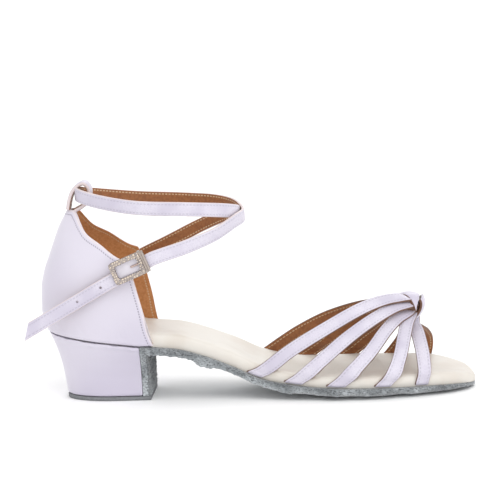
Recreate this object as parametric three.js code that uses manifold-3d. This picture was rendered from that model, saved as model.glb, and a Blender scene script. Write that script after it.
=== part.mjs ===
// Ballroom dance sandal, left shoe: open toe, open waist, block heel, crossed ankle strap.
// Millimetres. +X runs to the toe, -Y is the big toe's side, +Z is up.
// The origin lies on the floor under the middle of the heel tip.
import * as THREE from 'three';
import { mergeVertices } from 'three/addons/utils/BufferGeometryUtils.js';
import Module from 'manifold-3d';

const wasm = await Module();
wasm.setup();

// Sole and heel
const length = 240;             // back of the counter to the tip of the insole
const ballWidth = 72;           // outsole across the ball
const seatWidth = 52.6;         // counter across the heel seat
const heelHeight = 31.4;        // floor to the top of the outsole at the breast
const seatRise = 6.6;           // breast to the back of the seat
const soleThickness = 4.4;
const insoleThickness = 7.2;
const insoleDish = 1.2;         // the insole's middle lies this much under its edge
const tipThickness = 2.2;
const flapThickness = 4.2;      // suede that runs down the heel's breast
const heelCentreAt = 0.158;     // middle of the heel tip, as a share of the length
const breastAt = 0.2388;        // front face of the satin heel block
const widestSeatAt = 0.175;
const toeFlushAt = 0.95;         // from here the insole widens until it is flush at the tip

// Upper
const counterHeight = 73.6;     // top of the outsole at the breast to the counter's top
const counterWall = 2;
const counterHem = 9;           // turned in under the insole
const vampWidth = 7.6;
const vampThickness = 1.5;
const vampTuck = 8;             // strap end that lies under the insole
const vampHeight = 38;          // insole's edge to the straps at the knot
const knotWidth = 10.5;
const knotHeight = 13.4;
const knotDepth = 13;

// Ankle strap and buckle
const strapWidth = 7.7;
const strapThickness = 1.8;
const holeDiameter = 1.3;
const keeperWidth = 10.5;
const keeperThickness = 1.5;
const buckleLength = 20.6;
const buckleWidth = 12.8;
const buckleBar = 2.8;
const buckleBaseThickness = 1;
const bucklePlateThickness = 1.4;
const prongDiameter = 1.1;
const tabWidth = 6;
const tabThickness = 1.8;

const clearance = 0.3;          // between pieces that touch

// Outsole and insole from breast to toe. inner and outer are shares of half the ball's width,
// lift of the heel's height over the sole, crown and thick of the sole's thickness,
// pad of the insole's thickness.
const soleSections = [
  { at: 0.225, inner: 0.728, outer: 0.722, lift: 1.000, crown: 0.00, thick: 1.00, pad: 1.08 },
  { at: 0.317, inner: 0.706, outer: 0.667, lift: 0.930, crown: 0.00, thick: 1.00, pad: 1.16 },
  { at: 0.383, inner: 0.694, outer: 0.633, lift: 0.770, crown: 0.00, thick: 1.00, pad: 1.18 },
  { at: 0.450, inner: 0.706, outer: 0.639, lift: 0.525, crown: 0.07, thick: 1.00, pad: 1.19 },
  { at: 0.508, inner: 0.744, outer: 0.694, lift: 0.263, crown: 0.20, thick: 1.00, pad: 1.14 },
  { at: 0.558, inner: 0.797, outer: 0.778, lift: 0.137, crown: 0.31, thick: 1.05, pad: 0.97 },
  { at: 0.608, inner: 0.869, outer: 0.889, lift: 0.056, crown: 0.43, thick: 1.07, pad: 0.86 },
  { at: 0.667, inner: 0.936, outer: 1.000, lift: 0.011, crown: 0.45, thick: 1.09, pad: 0.87 },
  { at: 0.717, inner: 0.964, outer: 1.036, lift: 0.000, crown: 0.42, thick: 1.08, pad: 0.92 },
  { at: 0.771, inner: 0.944, outer: 1.050, lift: 0.000, crown: 0.38, thick: 1.05, pad: 0.94 },
  { at: 0.833, inner: 0.861, outer: 1.010, lift: 0.000, crown: 0.34, thick: 0.98, pad: 0.97 },
  { at: 0.896, inner: 0.736, outer: 0.880, lift: 0.000, crown: 0.32, thick: 0.91, pad: 1.00 },
  { at: 0.942, inner: 0.597, outer: 0.690, lift: 0.011, crown: 0.32, thick: 0.73, pad: 0.95 },
  { at: 0.973, inner: 0.444, outer: 0.470, lift: 0.030, crown: 0.27, thick: 0.52, pad: 0.87 },
  { at: 0.992, inner: 0.278, outer: 0.190, lift: 0.040, crown: 0.20, thick: 0.38, pad: 0.75 },
  { at: 1.000, inner: 0.083, outer: -0.083, lift: 0.045, crown: 0.18, thick: 0.34, pad: 0.65 },
];

// Counter, level by level. level is a share of its height, back and front of the length,
// half of half the seat's width.
const counterSections = [
  { level: 0.000, back: 0.0283, half: 1.000, front: 0.2720 },
  { level: 0.117, back: 0.0167, half: 1.030, front: 0.2600 },
  { level: 0.253, back: 0.0067, half: 1.076, front: 0.2533 },
  { level: 0.416, back: 0.0083, half: 1.100, front: 0.2425 },
  { level: 0.552, back: 0.0170, half: 1.100, front: 0.2325 },
  { level: 0.660, back: 0.0296, half: 1.060, front: 0.2220 },
  { level: 0.769, back: 0.0425, half: 0.930, front: 0.2125 },
  { level: 0.878, back: 0.0560, half: 0.700, front: 0.2020 },
  { level: 1.000, back: 0.0770, half: 0.400, front: 0.1920 },
];

// Counter's upper edge. turn runs from the back to the front edge, level is as above.
const topline = [
  { turn: 0.000, level: 1.000 },
  { turn: 0.330, level: 1.000 },
  { turn: 0.450, level: 0.968 },
  { turn: 0.555, level: 0.912 },
  { turn: 0.656, level: 0.843 },
  { turn: 0.800, level: 0.772 },
  { turn: 0.944, level: 0.668 },
  { turn: 1.000, level: 0.645 },
];

// Heel block from its foot to the seat. back is a share of the length, half as above.
const heelSections = [
  { level: 0.00, back: 0.0580, half: 0.703 },
  { level: 0.35, back: 0.0510, half: 0.734 },
  { level: 0.60, back: 0.0433, half: 0.806 },
  { level: 0.85, back: 0.0310, half: 0.920 },
  { level: 1.00, back: 0.0225, half: 0.985 },
];

// Vamp straps from the insole's edge to the knot. along is a share of the strap, out of the
// sole's half width, low what the outer strap lies lower, and each strap has its own at and rise.
const vampLean = [
  { along: 0.25, out: 0.967, low: -0.08 },
  { along: 0.50, out: 0.837, low: 0.00 },
  { along: 0.75, out: 0.585, low: 0.12 },
  { along: 0.90, out: 0.370, low: 0.13 },
  { along: 1.00, out: 0.200, low: 0.11 },
];
const vampStraps = [
  { name: 'first', base: 0.501, at: [0.583, 0.668, 0.755, 0.812, 0.851], rise: [0.368, 0.668, 0.924, 1.002, 0.985] },
  { name: 'second', base: 0.589, at: [0.651, 0.714, 0.782, 0.827, 0.859], rise: [0.216, 0.529, 0.771, 0.861, 0.855] },
  { name: 'third', base: 0.686, at: [0.725, 0.765, 0.801, 0.828, 0.852], rise: [0.087, 0.334, 0.584, 0.682, 0.734] },
  { name: 'fourth', base: 0.791, at: [0.816, 0.832, 0.842, 0.849, 0.857], rise: [0.032, 0.271, 0.505, 0.637, 0.708] },
  { name: 'fifth', base: 0.878, at: [0.885, 0.883, 0.876, 0.870, 0.863], rise: [0.018, 0.234, 0.432, 0.537, 0.598] },
];
const knotAt = 0.862;

// Ankle strap's centre line from its sewn end to its free end. at is a share of the length,
// side of half the seat's width, drop of the counter's height under the keeper.
const ankleStrapPath = [
  { at: 0.1850, side: 1.155, drop: -0.642 },
  { at: 0.2210, side: 1.152, drop: -0.562 },
  { at: 0.2920, side: 1.065, drop: -0.450 },
  { at: 0.3750, side: 0.905, drop: -0.317 },
  { at: 0.4375, side: 0.530, drop: -0.223 },
  { at: 0.4710, side: 0.000, drop: -0.180 },
  { at: 0.4430, side: -0.495, drop: -0.139 },
  { at: 0.3604, side: -0.895, drop: -0.102 },
  { at: 0.2458, side: -0.930, drop: -0.077 },
  { at: 0.1625, side: -0.690, drop: -0.038 },
  { at: 0.1190, side: -0.340, drop: -0.006 },
  { at: 0.1105, side: 0.000, drop: 0.000 },
  { at: 0.1290, side: 0.450, drop: -0.030 },
  { at: 0.2260, side: 0.890, drop: -0.088 },
  { at: 0.3420, side: 0.935, drop: -0.114 },
  { at: 0.4210, side: 0.685, drop: -0.128 },
  { at: 0.4670, side: 0.250, drop: -0.155 },
  { at: 0.4817, side: -0.040, drop: -0.198 },
  { at: 0.4650, side: -0.400, drop: -0.226 },
  { at: 0.4240, side: -0.745, drop: -0.298 },
  { at: 0.3570, side: -1.000, drop: -0.376 },
  { at: 0.2825, side: -1.201, drop: -0.444 },
  { at: 0.2667, side: -1.209, drop: -0.470 },
  { at: 0.2375, side: -1.224, drop: -0.518 },
  { at: 0.1896, side: -1.249, drop: -0.596 },
  { at: 0.0946, side: -1.225, drop: -0.769 },
  { at: -0.0175, side: -1.190, drop: -0.973 },
];
const ankleAt = 0.283;          // middle of the ankle, as a share of the length
const strapEndSlant = 0.75;     // how far the cut end leans, per millimetre of width
const keeperRise = 8.6;         // counter's top to the middle of the ankle strap
const strapSteps = 92;
const buckleAt = 0.2337;        // where the buckle sits on the strap, as a share of the length
const buckleTurn = -5;          // degrees between the buckle and the strap
const buckleShift = 1.9;        // up from the strap's middle
const holesAt = [0.245, 0.163, 0.108];

// Keeper from the counter's top, over the strap and back down inside the counter.
// at is a share of the length, rise of the keeper's rise over the counter's top.
const keeperPath = [
  { at: 0.0805, rise: 0.05 },
  { at: 0.0850, rise: 0.63 },
  { at: 0.0925, rise: 1.15 },
  { at: 0.1060, rise: 1.55 },
  { at: 0.1195, rise: 1.68 },
  { at: 0.1290, rise: 1.42 },
  { at: 0.1310, rise: 0.95 },
  { at: 0.1240, rise: 0.35 },
  { at: 0.1080, rise: -0.10 },
  { at: 0.0940, rise: -0.48 },
  { at: 0.0830, rise: -0.85 },
];

const placeX = (at) => (at - heelCentreAt) * length;
const shareOf = (x) => x / length + heelCentreAt;
const breastX = placeX(breastAt);
const flapX = breastX + clearance + flapThickness;
const heelBackX = placeX(heelSections[heelSections.length - 1].back);
const insoleInset = counterWall + clearance;
const hemEndX = placeX(counterSections[0].front) + 2 * clearance;
const knotX = placeX(knotAt);

// Smooth, unwavering curve through one column of a table
function readTable(table, key, column, at) {
  const xs = table.map((row) => row[key]);
  const ys = table.map((row) => row[column]);
  const last = xs.length - 1;
  if (at <= xs[0]) return ys[0];
  if (at >= xs[last]) return ys[last];
  const slopes = xs.slice(1).map((x, i) => (ys[i + 1] - ys[i]) / (x - xs[i]));
  const tangentAt = (i) => {
    if (i === 0) return slopes[0];
    if (i === last) return slopes[last - 1];
    const before = slopes[i - 1];
    const after = slopes[i];
    return before * after <= 0 ? 0 : (2 * before * after) / (before + after);
  };
  const i = xs.findIndex((x) => x > at) - 1;
  const span = xs[i + 1] - xs[i];
  const t = (at - xs[i]) / span;
  const rise = tangentAt(i) * span * t * (1 - t) ** 2 - tangentAt(i + 1) * span * t * t * (1 - t);
  return ys[i] * (1 + 2 * t) * (1 - t) ** 2 + ys[i + 1] * t * t * (3 - 2 * t) + rise;
}

const smooth = (value) => THREE.MathUtils.smoothstep(value, 0, 1);

// Sole's half width on one side. The square root of the distance to the tip rounds the toe.
const tipTable = soleSections.map((row) => ({ ...row, fromTip: Math.sqrt(1 - row.at) })).reverse();
const fromTip = (x) => Math.sqrt(Math.max(0, 1 - shareOf(x)));
const soleHalf = (x, side) => readTable(tipTable, 'fromTip', side, fromTip(x)) * ballWidth / 2;
const soleValue = (x, column) => readTable(soleSections, 'at', column, shareOf(x));

// Seat's half width: half an ellipse behind the widest place, blended into the waist
function seatHalf(x, side) {
  const widest = placeX(widestSeatAt);
  const reach = (widest - x) / (widest - heelBackX);
  const seat = (seatWidth / 2) * Math.sqrt(Math.max(0, 1 - Math.max(0, reach) ** 2));
  const blend = smooth((x - widest) / (breastX - widest));
  return seat * (1 - blend) + soleHalf(x, side) * blend;
}

const footHalf = (x, side) => (x < breastX ? seatHalf(x, side) : soleHalf(x, side));
const middleY = (x) => (footHalf(x, 'outer') - footHalf(x, 'inner')) / 2;
const halfWidth = (x) => Math.max(1e-6, (footHalf(x, 'outer') + footHalf(x, 'inner')) / 2);
function across(x, y) {
  const half = halfWidth(x);
  return half < 0.01 ? 1 : Math.min(1, Math.abs(y - middleY(x)) / half);
}

const seatTop = (x) => heelHeight + seatRise * (breastX - x) / (breastX - heelBackX);
const soleLift = (x) => soleValue(x, 'lift') * (heelHeight - soleThickness);
const soleCrown = (x) => soleValue(x, 'crown') * soleThickness;
const soleBottom = (x, y) => soleLift(x) + soleCrown(x) * smooth((across(x, y) - 0.5) * 2);
function soleTop(x, y) {
  return soleLift(x) + soleCrown(x) * across(x, y) ** 2 + soleValue(x, 'thick') * soleThickness;
}

// Underside of the insole: over the counter's hem in the seat, then down on the outsole
function insoleBottom(x, y) {
  const seat = Math.max(seatTop(x), heelHeight) + counterWall + 2 * clearance;
  const sole = soleTop(Math.max(x, breastX), y) + clearance;
  const blend = smooth((x - hemEndX) / insoleInset / 2);
  return seat * (1 - blend) + sole * blend;
}

function insoleTop(x, y) {
  const base = x < breastX ? seatTop(x) : soleTop(x, middleY(x) + halfWidth(x));
  const dish = insoleDish * (1 - across(x, y) ** 2);
  return base + soleValue(x, 'pad') * insoleThickness - dish;
}

// Closed mesh through a row of rings that have the same number of points
function loft(rings, closed = false) {
  const count = rings[0].length;
  const positions = rings.flat().flatMap((point) => point.toArray());
  const faces = [];
  const bands = closed ? rings.length : rings.length - 1;
  for (let i = 0; i < bands; i += 1) {
    for (let j = 0; j < count; j += 1) {
      const a = i * count + j;
      const b = i * count + (j + 1) % count;
      const c = ((i + 1) % rings.length) * count;
      faces.push([a, b, c + (j + 1) % count], [a, c + (j + 1) % count, c + j]);
    }
  }
  if (!closed) {
    const start = capFaces(rings[0]);
    const end = capFaces(rings[rings.length - 1]);
    const offset = (rings.length - 1) * count;
    faces.push(...start.map(([a, b, c]) => [a, c, b]));
    faces.push(...end.map(([a, b, c]) => [a + offset, b + offset, c + offset]));
  }
  return closedGeometry(positions, faces);
}

// Flat cap over one ring, or none where the ring has shrunk to a line
function capFaces(ring) {
  const centre = ring.reduce((sum, point) => sum.add(point), new THREE.Vector3()).divideScalar(ring.length);
  const normal = new THREE.Vector3();
  ring.forEach((point, i) => {
    const next = ring[(i + 1) % ring.length];
    normal.add(point.clone().sub(centre).cross(next.clone().sub(centre)));
  });
  if (normal.length() < 1e-3) return [];
  normal.normalize();
  const right = ring[0].clone().sub(centre);
  right.addScaledVector(normal, -right.dot(normal)).normalize();
  const up = normal.clone().cross(right);
  const flat = ring.map((point) => {
    const arm = point.clone().sub(centre);
    return new THREE.Vector2(arm.dot(right), arm.dot(up));
  });
  return THREE.ShapeUtils.triangulateShape(flat, []);
}

// Merged geometry without the triangles that shrank to nothing, turned to face outward
function closedGeometry(positions, faces) {
  const loose = new THREE.BufferGeometry();
  loose.setAttribute('position', new THREE.Float32BufferAttribute(positions, 3));
  loose.setIndex(faces.flat());
  const merged = mergeVertices(loose, 2e-3);
  const index = merged.index.array;
  const kept = [];
  for (let i = 0; i < index.length; i += 3) {
    const [a, b, c] = [index[i], index[i + 1], index[i + 2]];
    if (a !== b && b !== c && c !== a) kept.push([a, b, c]);
  }
  const place = (i) => new THREE.Vector3().fromBufferAttribute(merged.attributes.position, i);
  const volume = kept.reduce((sum, [a, b, c]) => sum + place(a).dot(place(b).cross(place(c))), 0);
  merged.setIndex((volume < 0 ? kept.map(([a, b, c]) => [a, c, b]) : kept).flat());
  return merged;
}

function toSolid(geometry) {
  const mesh = new wasm.Mesh({
    numProp: 3,
    vertProperties: new Float32Array(geometry.attributes.position.array),
    triVerts: new Uint32Array(geometry.index.array),
  });
  return new wasm.Manifold(mesh);
}

function fromSolid(solid) {
  const { vertProperties, triVerts } = solid.getMesh();
  const geometry = new THREE.BufferGeometry();
  geometry.setAttribute('position', new THREE.BufferAttribute(new Float32Array(vertProperties), 3));
  geometry.setIndex(new THREE.BufferAttribute(new Uint32Array(triVerts), 1));
  return geometry;
}

// One solid of all, with any pocket that they close in filled up
function fuse(geometries, cutters = []) {
  const joined = geometries.map(toSolid).reduce((sum, next) => sum.add(next));
  const whole = cutters.map(toSolid).reduce((solid, cutter) => solid.subtract(cutter), joined);
  return fromSolid(whole.decompose().reduce((a, b) => (a.volume() > b.volume() ? a : b)));
}

// Sheet between two surfaces, section by section. rim gives the rounding of its edge:
// how far out each point lies and its share of the thickness.
function plate(stations, rim, inset, low, high) {
  const rings = stations.map((x) => {
    const half = Math.max(0, halfWidth(x) - inset(x));
    return rim.map(([reach, share]) => {
      const y = middleY(x) + reach * half;
      const bottom = low(x, y);
      return new THREE.Vector3(x, y, bottom + share * (high(x, y) - bottom));
    });
  });
  return loft(rings);
}

const mirroredRim = (rim) => [
  ...rim.map(([reach, share]) => [-reach, share]),
  ...rim.slice().reverse().filter(([reach]) => reach > 0),
];
const outsoleRim = mirroredRim([
  [0, 1], [0.4, 1], [0.8, 1], [0.985, 1], [1, 0.8], [1, 0.25], [0.975, 0], [0.78, 0], [0.5, 0], [0, 0],
]);
const insoleRim = mirroredRim([
  [0, 1], [0.45, 1], [0.8, 1], [0.94, 0.97], [0.985, 0.85], [1, 0.6], [1, 0.3], [0.98, 0], [0.6, 0], [0, 0],
]);

// Places from start to end, closer and closer together toward the end
function spread(start, end, count) {
  return Array.from({ length: count + 1 }, (_, i) => {
    return start + (end - start) * Math.sin(Math.PI * i / count / 2);
  });
}

const soleStations = spread(breastX + clearance, placeX(1), 34);

// U-shaped outline of the counter or heel: turn runs from -1 at the inner front corner,
// round the back, to 1 at the outer front corner
function cupPoint(turn, back, half, front) {
  const widest = placeX(widestSeatAt);
  const x = back + (front - back) * (1 - Math.cos(Math.abs(turn) * Math.PI / 2));
  const reach = Math.max(0, (widest - x) / (widest - back));
  const y = half * Math.sqrt(Math.max(0, 1 - reach * reach));
  return new THREE.Vector2(x, Math.sign(turn) * y);
}

function counterOutline(turn, z) {
  const level = (z - heelHeight) / counterHeight;
  const value = (column) => readTable(counterSections, 'level', column, level);
  return cupPoint(turn, placeX(value('back')), value('half') * seatWidth / 2, placeX(value('front')));
}

function counterInward(turn, z) {
  const step = 0.01;
  const before = counterOutline(Math.max(-1, turn - step), z);
  const after = counterOutline(Math.min(1, turn + step), z);
  const tangent = after.sub(before).normalize();
  return new THREE.Vector2(tangent.y, -tangent.x);
}

// Hollow heel cup with its lower edge turned in under the insole
function counterGeometry() {
  const steps = 40;
  const levels = [0, 0.12, 0.28, 0.46, 0.64, 0.82, 0.97];
  const rings = [];
  for (let i = 0; i <= steps; i += 1) {
    const turn = -1 + (2 * i) / steps;
    const bottom = counterFootZ(counterOutline(turn, heelHeight).x);
    const top = heelHeight + counterHeight * readTable(topline, 'turn', 'level', Math.abs(turn));
    const point = (z, depth) => {
      const outline = counterOutline(turn, z).addScaledVector(counterInward(turn, z), depth);
      return new THREE.Vector3(outline.x, outline.y, z);
    };
    const outer = levels.map((share) => point(bottom + 0.6 + share * (top - bottom - 0.6), 0));
    const inner = levels.map((share) => {
      return point(bottom + counterWall + share * (top - bottom - counterWall), counterWall);
    });
    const hem = (depth, lift) => {
      const foot = point(bottom, depth);
      return foot.setZ(counterFootZ(foot.x) + lift);
    };
    rings.push([
      hem(0.6, 0),
      ...outer,
      point(top, 0.5),
      point(top, counterWall - 0.5),
      ...inner.reverse(),
      hem(counterHem, counterWall),
      hem(counterHem, 0),
    ]);
  }
  return loft(rings);
}

const heelTurns = Array.from({ length: 33 }, (_, i) => -1 + i / 16);
const heelFoot = tipThickness + clearance;

function heelRing(level, front) {
  const value = (column) => readTable(heelSections, 'level', column, level);
  return heelTurns.map((turn) => {
    return cupPoint(turn, placeX(value('back')), value('half') * seatWidth / 2, front);
  });
}

function heelGeometry() {
  const levels = [0, 0.1, 0.35, 0.6, 0.75, 0.88, 1];
  return loft(levels.map((level) => heelRing(level, breastX).map((point) => {
    const top = Math.min(seatTop(point.x), counterFootZ(point.x)) - clearance;
    return new THREE.Vector3(point.x, point.y, heelFoot + level * (top - heelFoot));
  })));
}

const counterFootZ = (x) => Math.max(seatTop(x), heelHeight) + clearance;

function heelTipGeometry() {
  return loft([0, tipThickness].map((z) => heelRing(0, flapX).map((point) => {
    return new THREE.Vector3(point.x, point.y, z);
  })));
}

// Suede flap down the breast, as wide as the heel beside it
function flapGeometry() {
  const levels = [0, 0.2, 0.4, 0.6, 0.8, 0.95];
  const back = breastX + clearance;
  return loft(levels.map((level) => {
    const half = readTable(heelSections, 'level', 'half', level) * seatWidth / 2;
    const z = heelFoot + level * (heelHeight - heelFoot);
    return [[back, -half], [flapX, -half], [flapX, half], [back, half]].map(([x, y]) => {
      return new THREE.Vector3(x, y, z);
    });
  }));
}

function outsoleGeometry() {
  const sole = plate(soleStations, outsoleRim, () => 0, soleBottom, soleTop);
  return fuse([sole, flapGeometry()]);
}

function insoleGeometry() {
  const back = heelBackX + insoleInset;
  const onHem = spread(hemEndX, back, 12).reverse();
  const stepEnd = hemEndX + 2 * insoleInset;
  const stations = [...onHem, stepEnd, ...soleStations.filter((x) => x > stepEnd + clearance)];
  const inset = (x) => insoleInset * smooth(fromTip(x) / fromTip(placeX(toeFlushAt)));
  const whole = plate(stations, insoleRim, inset, insoleBottom, insoleTop);
  return fuse([whole], vampStraps.flatMap((strap) => [strapPocket(strap, 'inner'), strapPocket(strap, 'outer')]));
}

// Pocket in the insole's underside for a strap's end and its bend
function strapPocket(strap, side) {
  const x = placeX(strap.base) + vampThickness;
  const half = soleHalf(x, side);
  const direction = side === 'inner' ? -1 : 1;
  const height = vampThickness * 3.2;
  const points = [vampTuck + insoleInset + vampThickness, insoleInset, -insoleInset].map((depth) => {
    const y = direction * (half - depth);
    return new THREE.Vector3(x, y, soleTop(x, direction * Math.min(half, half - depth)) + height / 2);
  });
  const slope = (soleTop(x + vampWidth / 2, 0) - soleTop(x - vampWidth / 2, 0)) / vampWidth;
  const upright = () => new THREE.Vector3(-slope, 0, 1);
  return strip(points, upright, vampWidth + 2 * vampThickness + 2 * clearance, height);
}

// Flat strip along a curve. outward gives the side that its face looks to.
function strip(points, outward, width, thickness, endSlant = 0) {
  const rings = points.map((point, i) => {
    const before = points[Math.max(0, i - 1)];
    const after = points[Math.min(points.length - 1, i + 1)];
    const tangent = after.clone().sub(before).normalize();
    const face = outward(point, tangent);
    face.addScaledVector(tangent, -face.dot(tangent)).normalize();
    const wide = tangent.clone().cross(face);
    const edge = width / 2;
    const deep = thickness / 2;
    const round = thickness / 4;
    const slant = i === points.length - 1 ? endSlant : 0;
    return [
      [-edge, -deep], [-edge, deep - round], [-edge + round, deep],
      [edge - round, deep], [edge, deep - round], [edge, -deep],
    ].map(([u, v]) => {
      return point.clone().addScaledVector(wide, u).addScaledVector(face, v).addScaledVector(tangent, u * slant);
    });
  });
  return loft(rings);
}

const curveThrough = (points, count) => new THREE.CatmullRomCurve3(points, false, 'centripetal').getSpacedPoints(count);

// One vamp strap's centre line: tucked under the insole, up its side and in to the knot
function strapHalfPath(strap, side, tuck) {
  const base = placeX(strap.base);
  const direction = side === 'inner' ? -1 : 1;
  const half = soleHalf(base, side);
  const rise = insoleTop(placeX(0.8), middleY(placeX(0.8)) + halfWidth(placeX(0.8)));
  const rows = vampLean.map((row, i) => new THREE.Vector3(
    placeX(strap.at[i]),
    direction * row.out * half,
    rise + strap.rise[i] * vampHeight * (side === 'inner' ? 1 : 1 - row.low),
  ));
  const floor = (x, y) => soleTop(x, direction * y) + 1.6 * clearance + vampThickness / 2;
  const lean = Math.min(1.2, (rows[0].x - base) / (rows[0].z - floor(base, half)));
  const place = (along, out, high) => {
    const x = base + along * lean;
    const y = soleHalf(x, side) - insoleInset + out;
    return new THREE.Vector3(x, direction * y, floor(x, Math.min(y, half)) + high);
  };
  const bend = vampThickness * 1.8;
  const aside = 1.5 * clearance + vampThickness / 2;
  return [
    place(0, -tuck, 0),
    place(0, -bend, 0),
    place(0, aside - vampThickness * 0.3, vampThickness * 0.3),
    place(bend, aside, bend),
    place(insoleThickness * 0.9, aside + clearance, insoleThickness * 0.9),
    ...rows,
  ];
}

const strapDivisions = [1, 2, 2, 2, 2, 3, 3, 2, 1, 1];

function strapStrip(strap, section, tuck) {
  const inner = strapHalfPath(strap, 'inner', tuck);
  const outer = strapHalfPath(strap, 'outer', tuck).reverse();
  const middle = inner[inner.length - 1].clone().lerp(outer[0], 0.5);
  middle.lerp(new THREE.Vector3(knotX, 0, knotZ()), 0.5);
  const curve = new THREE.CatmullRomCurve3([...inner, middle, ...outer], false, 'centripetal');
  const parts = [...strapDivisions, ...strapDivisions.slice().reverse()];
  const points = parts.flatMap((count, i) => {
    return Array.from({ length: count }, (_, j) => curve.getPoint((i + j / count) / parts.length));
  });
  points.push(curve.getPoint(1));
  const base = placeX(strap.base);
  const edgePoint = (x, side) => {
    const y = side * soleHalf(x, side < 0 ? 'inner' : 'outer');
    return new THREE.Vector3(x, y, soleTop(x, y * 0.85));
  };
  const outward = (point, tangent) => {
    const side = Math.sign(point.y);
    const along = edgePoint(base + vampWidth / 2, side).sub(edgePoint(base - vampWidth / 2, side));
    const height = point.z - edgePoint(base, side).z;
    const onSole = 1 - smooth(height / insoleThickness - 1);
    return new THREE.Vector3(1, 0, 0).lerp(along.divideScalar(vampWidth), onSole).cross(tangent);
  };
  return strip(points, outward, section.width, section.thickness);
}

const knotZ = () => insoleTop(knotX, 0) + vampHeight * 0.88;

// Band that ties the straps together, round the Y axis, and the gathered straps in it
function knotGeometry() {
  const height = knotZ();
  const steps = 20;
  const ring = Array.from({ length: steps }, (_, i) => {
    const angle = (2 * Math.PI * i) / steps;
    const x = knotX + (knotWidth / 2) * Math.cos(angle);
    return new THREE.Vector3(x, 0, height + (knotHeight / 2) * Math.sin(angle));
  });
  const rings = ring.map((point) => {
    const face = point.clone().sub(new THREE.Vector3(knotX, 0, height)).normalize();
    const edge = knotDepth / 2;
    const deep = vampThickness * 0.6;
    return [[-edge, -deep], [edge, -deep], [edge, deep], [-edge, deep]].map(([y, out]) => {
      return point.clone().add(new THREE.Vector3(0, y, 0)).addScaledVector(face, out);
    });
  });
  const core = [-0.44, 0.44].map((share) => ring.map((point) => point.clone().setY(share * knotDepth)));
  return [loft(rings, true), loft(core)];
}

function vampGeometry() {
  const section = { width: vampWidth, thickness: vampThickness };
  const straps = vampStraps.map((strap) => strapStrip(strap, section, vampTuck));
  const underlay = plate(soleStations, outsoleRim, () => 0, soleBottom, (x, y) => soleTop(x, y) + clearance);
  return fuse([...straps, ...knotGeometry()], [underlay]);
}

const keeperZ = heelHeight + counterHeight + keeperRise;
const anklePoints = curveThrough(ankleStrapPath.map((row) => new THREE.Vector3(
  placeX(row.at),
  row.side * seatWidth / 2,
  keeperZ + row.drop * counterHeight,
)), strapSteps);

// Strap's face looks away from the ankle, and straight to the side along the counter
function ankleOutward(point) {
  const drop = (point.z - keeperZ) / counterHeight;
  const away = point.clone().sub(new THREE.Vector3(placeX(ankleAt), 0, point.z));
  return away.setX(away.x * smooth((drop + 0.42) / 0.12));
}

// Last place on the strap's lower run with this share of the length
function strapFrame(at) {
  const reversed = anklePoints.slice().reverse();
  const i = reversed.findIndex((point) => point.x >= placeX(at));
  const point = reversed[i - 1].clone().lerp(
    reversed[i],
    (placeX(at) - reversed[i - 1].x) / (reversed[i].x - reversed[i - 1].x),
  );
  const along = reversed[i].clone().sub(reversed[i - 1]).normalize();
  const face = new THREE.Vector3(0, -1, 0).addScaledVector(along, along.y).normalize();
  const wide = face.clone().cross(along);
  return { point, basis: new THREE.Matrix4().makeBasis(along, wide, face).setPosition(point) };
}

function ankleStrapGeometry() {
  const whole = toSolid(strip(anklePoints, ankleOutward, strapWidth, strapThickness, strapEndSlant));
  const cuts = holesAt.map((at) => {
    const drill = new THREE.CylinderGeometry(holeDiameter / 2, holeDiameter / 2, strapThickness * 3, 10);
    drill.deleteAttribute('normal');
    drill.deleteAttribute('uv');
    return mergeVertices(drill.rotateX(Math.PI / 2).applyMatrix4(strapFrame(at).basis));
  });
  return fromSolid(cuts.reduce((solid, cut) => solid.subtract(toSolid(cut)), whole));
}

function keeperGeometry() {
  const top = heelHeight + counterHeight;
  const points = curveThrough(keeperPath.map((row) => new THREE.Vector3(
    placeX(row.at),
    0,
    top + row.rise * keeperRise,
  )), 26);
  const outward = (point, tangent) => new THREE.Vector3(0, 1, 0).cross(tangent);
  return strip(points, outward, keeperWidth, keeperThickness);
}

const openingEnd = buckleLength / 2 - buckleBar * 1.5;

// Rounded frame of the buckle in its own plane, from low to high over the strap
function frameGeometry(start, end, low, high) {
  const corner = buckleBar * 0.6;
  const outline = (shape, left, right, half, radius) => {
    shape.moveTo(left + radius, -half);
    shape.lineTo(right - radius, -half);
    shape.absarc(right - radius, -half + radius, radius, -Math.PI / 2, 0, false);
    shape.absarc(right - radius, half - radius, radius, 0, Math.PI / 2, false);
    shape.absarc(left + radius, half - radius, radius, Math.PI / 2, Math.PI, false);
    shape.absarc(left + radius, -half + radius, radius, Math.PI, Math.PI * 1.5, false);
    return shape;
  };
  const shape = outline(new THREE.Shape(), start, end, buckleWidth / 2, corner);
  const left = start + buckleBar;
  const right = openingEnd;
  shape.holes.push(outline(new THREE.Path(), left, right, buckleWidth / 2 - buckleBar, corner / 3));
  const options = { depth: high - low, bevelEnabled: false, curveSegments: 4 };
  return new THREE.ExtrudeGeometry(shape, options).translate(0, 0, low);
}

function placedSolid(geometry, basis) {
  geometry.deleteAttribute('normal');
  geometry.deleteAttribute('uv');
  return mergeVertices(geometry.applyMatrix4(basis), 1e-3);
}

const box = (width, depth, height, x, y, z) => new THREE.BoxGeometry(width, depth, height).translate(x, y, z);
const buckleBasis = strapFrame(buckleAt).basis
  .multiply(new THREE.Matrix4().makeTranslation(0, buckleShift, 0))
  .multiply(new THREE.Matrix4().makeRotationZ(THREE.MathUtils.degToRad(buckleTurn)));
const strapFace = strapThickness / 2 + clearance;
const barX = buckleLength / 2 - buckleBar;

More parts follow.
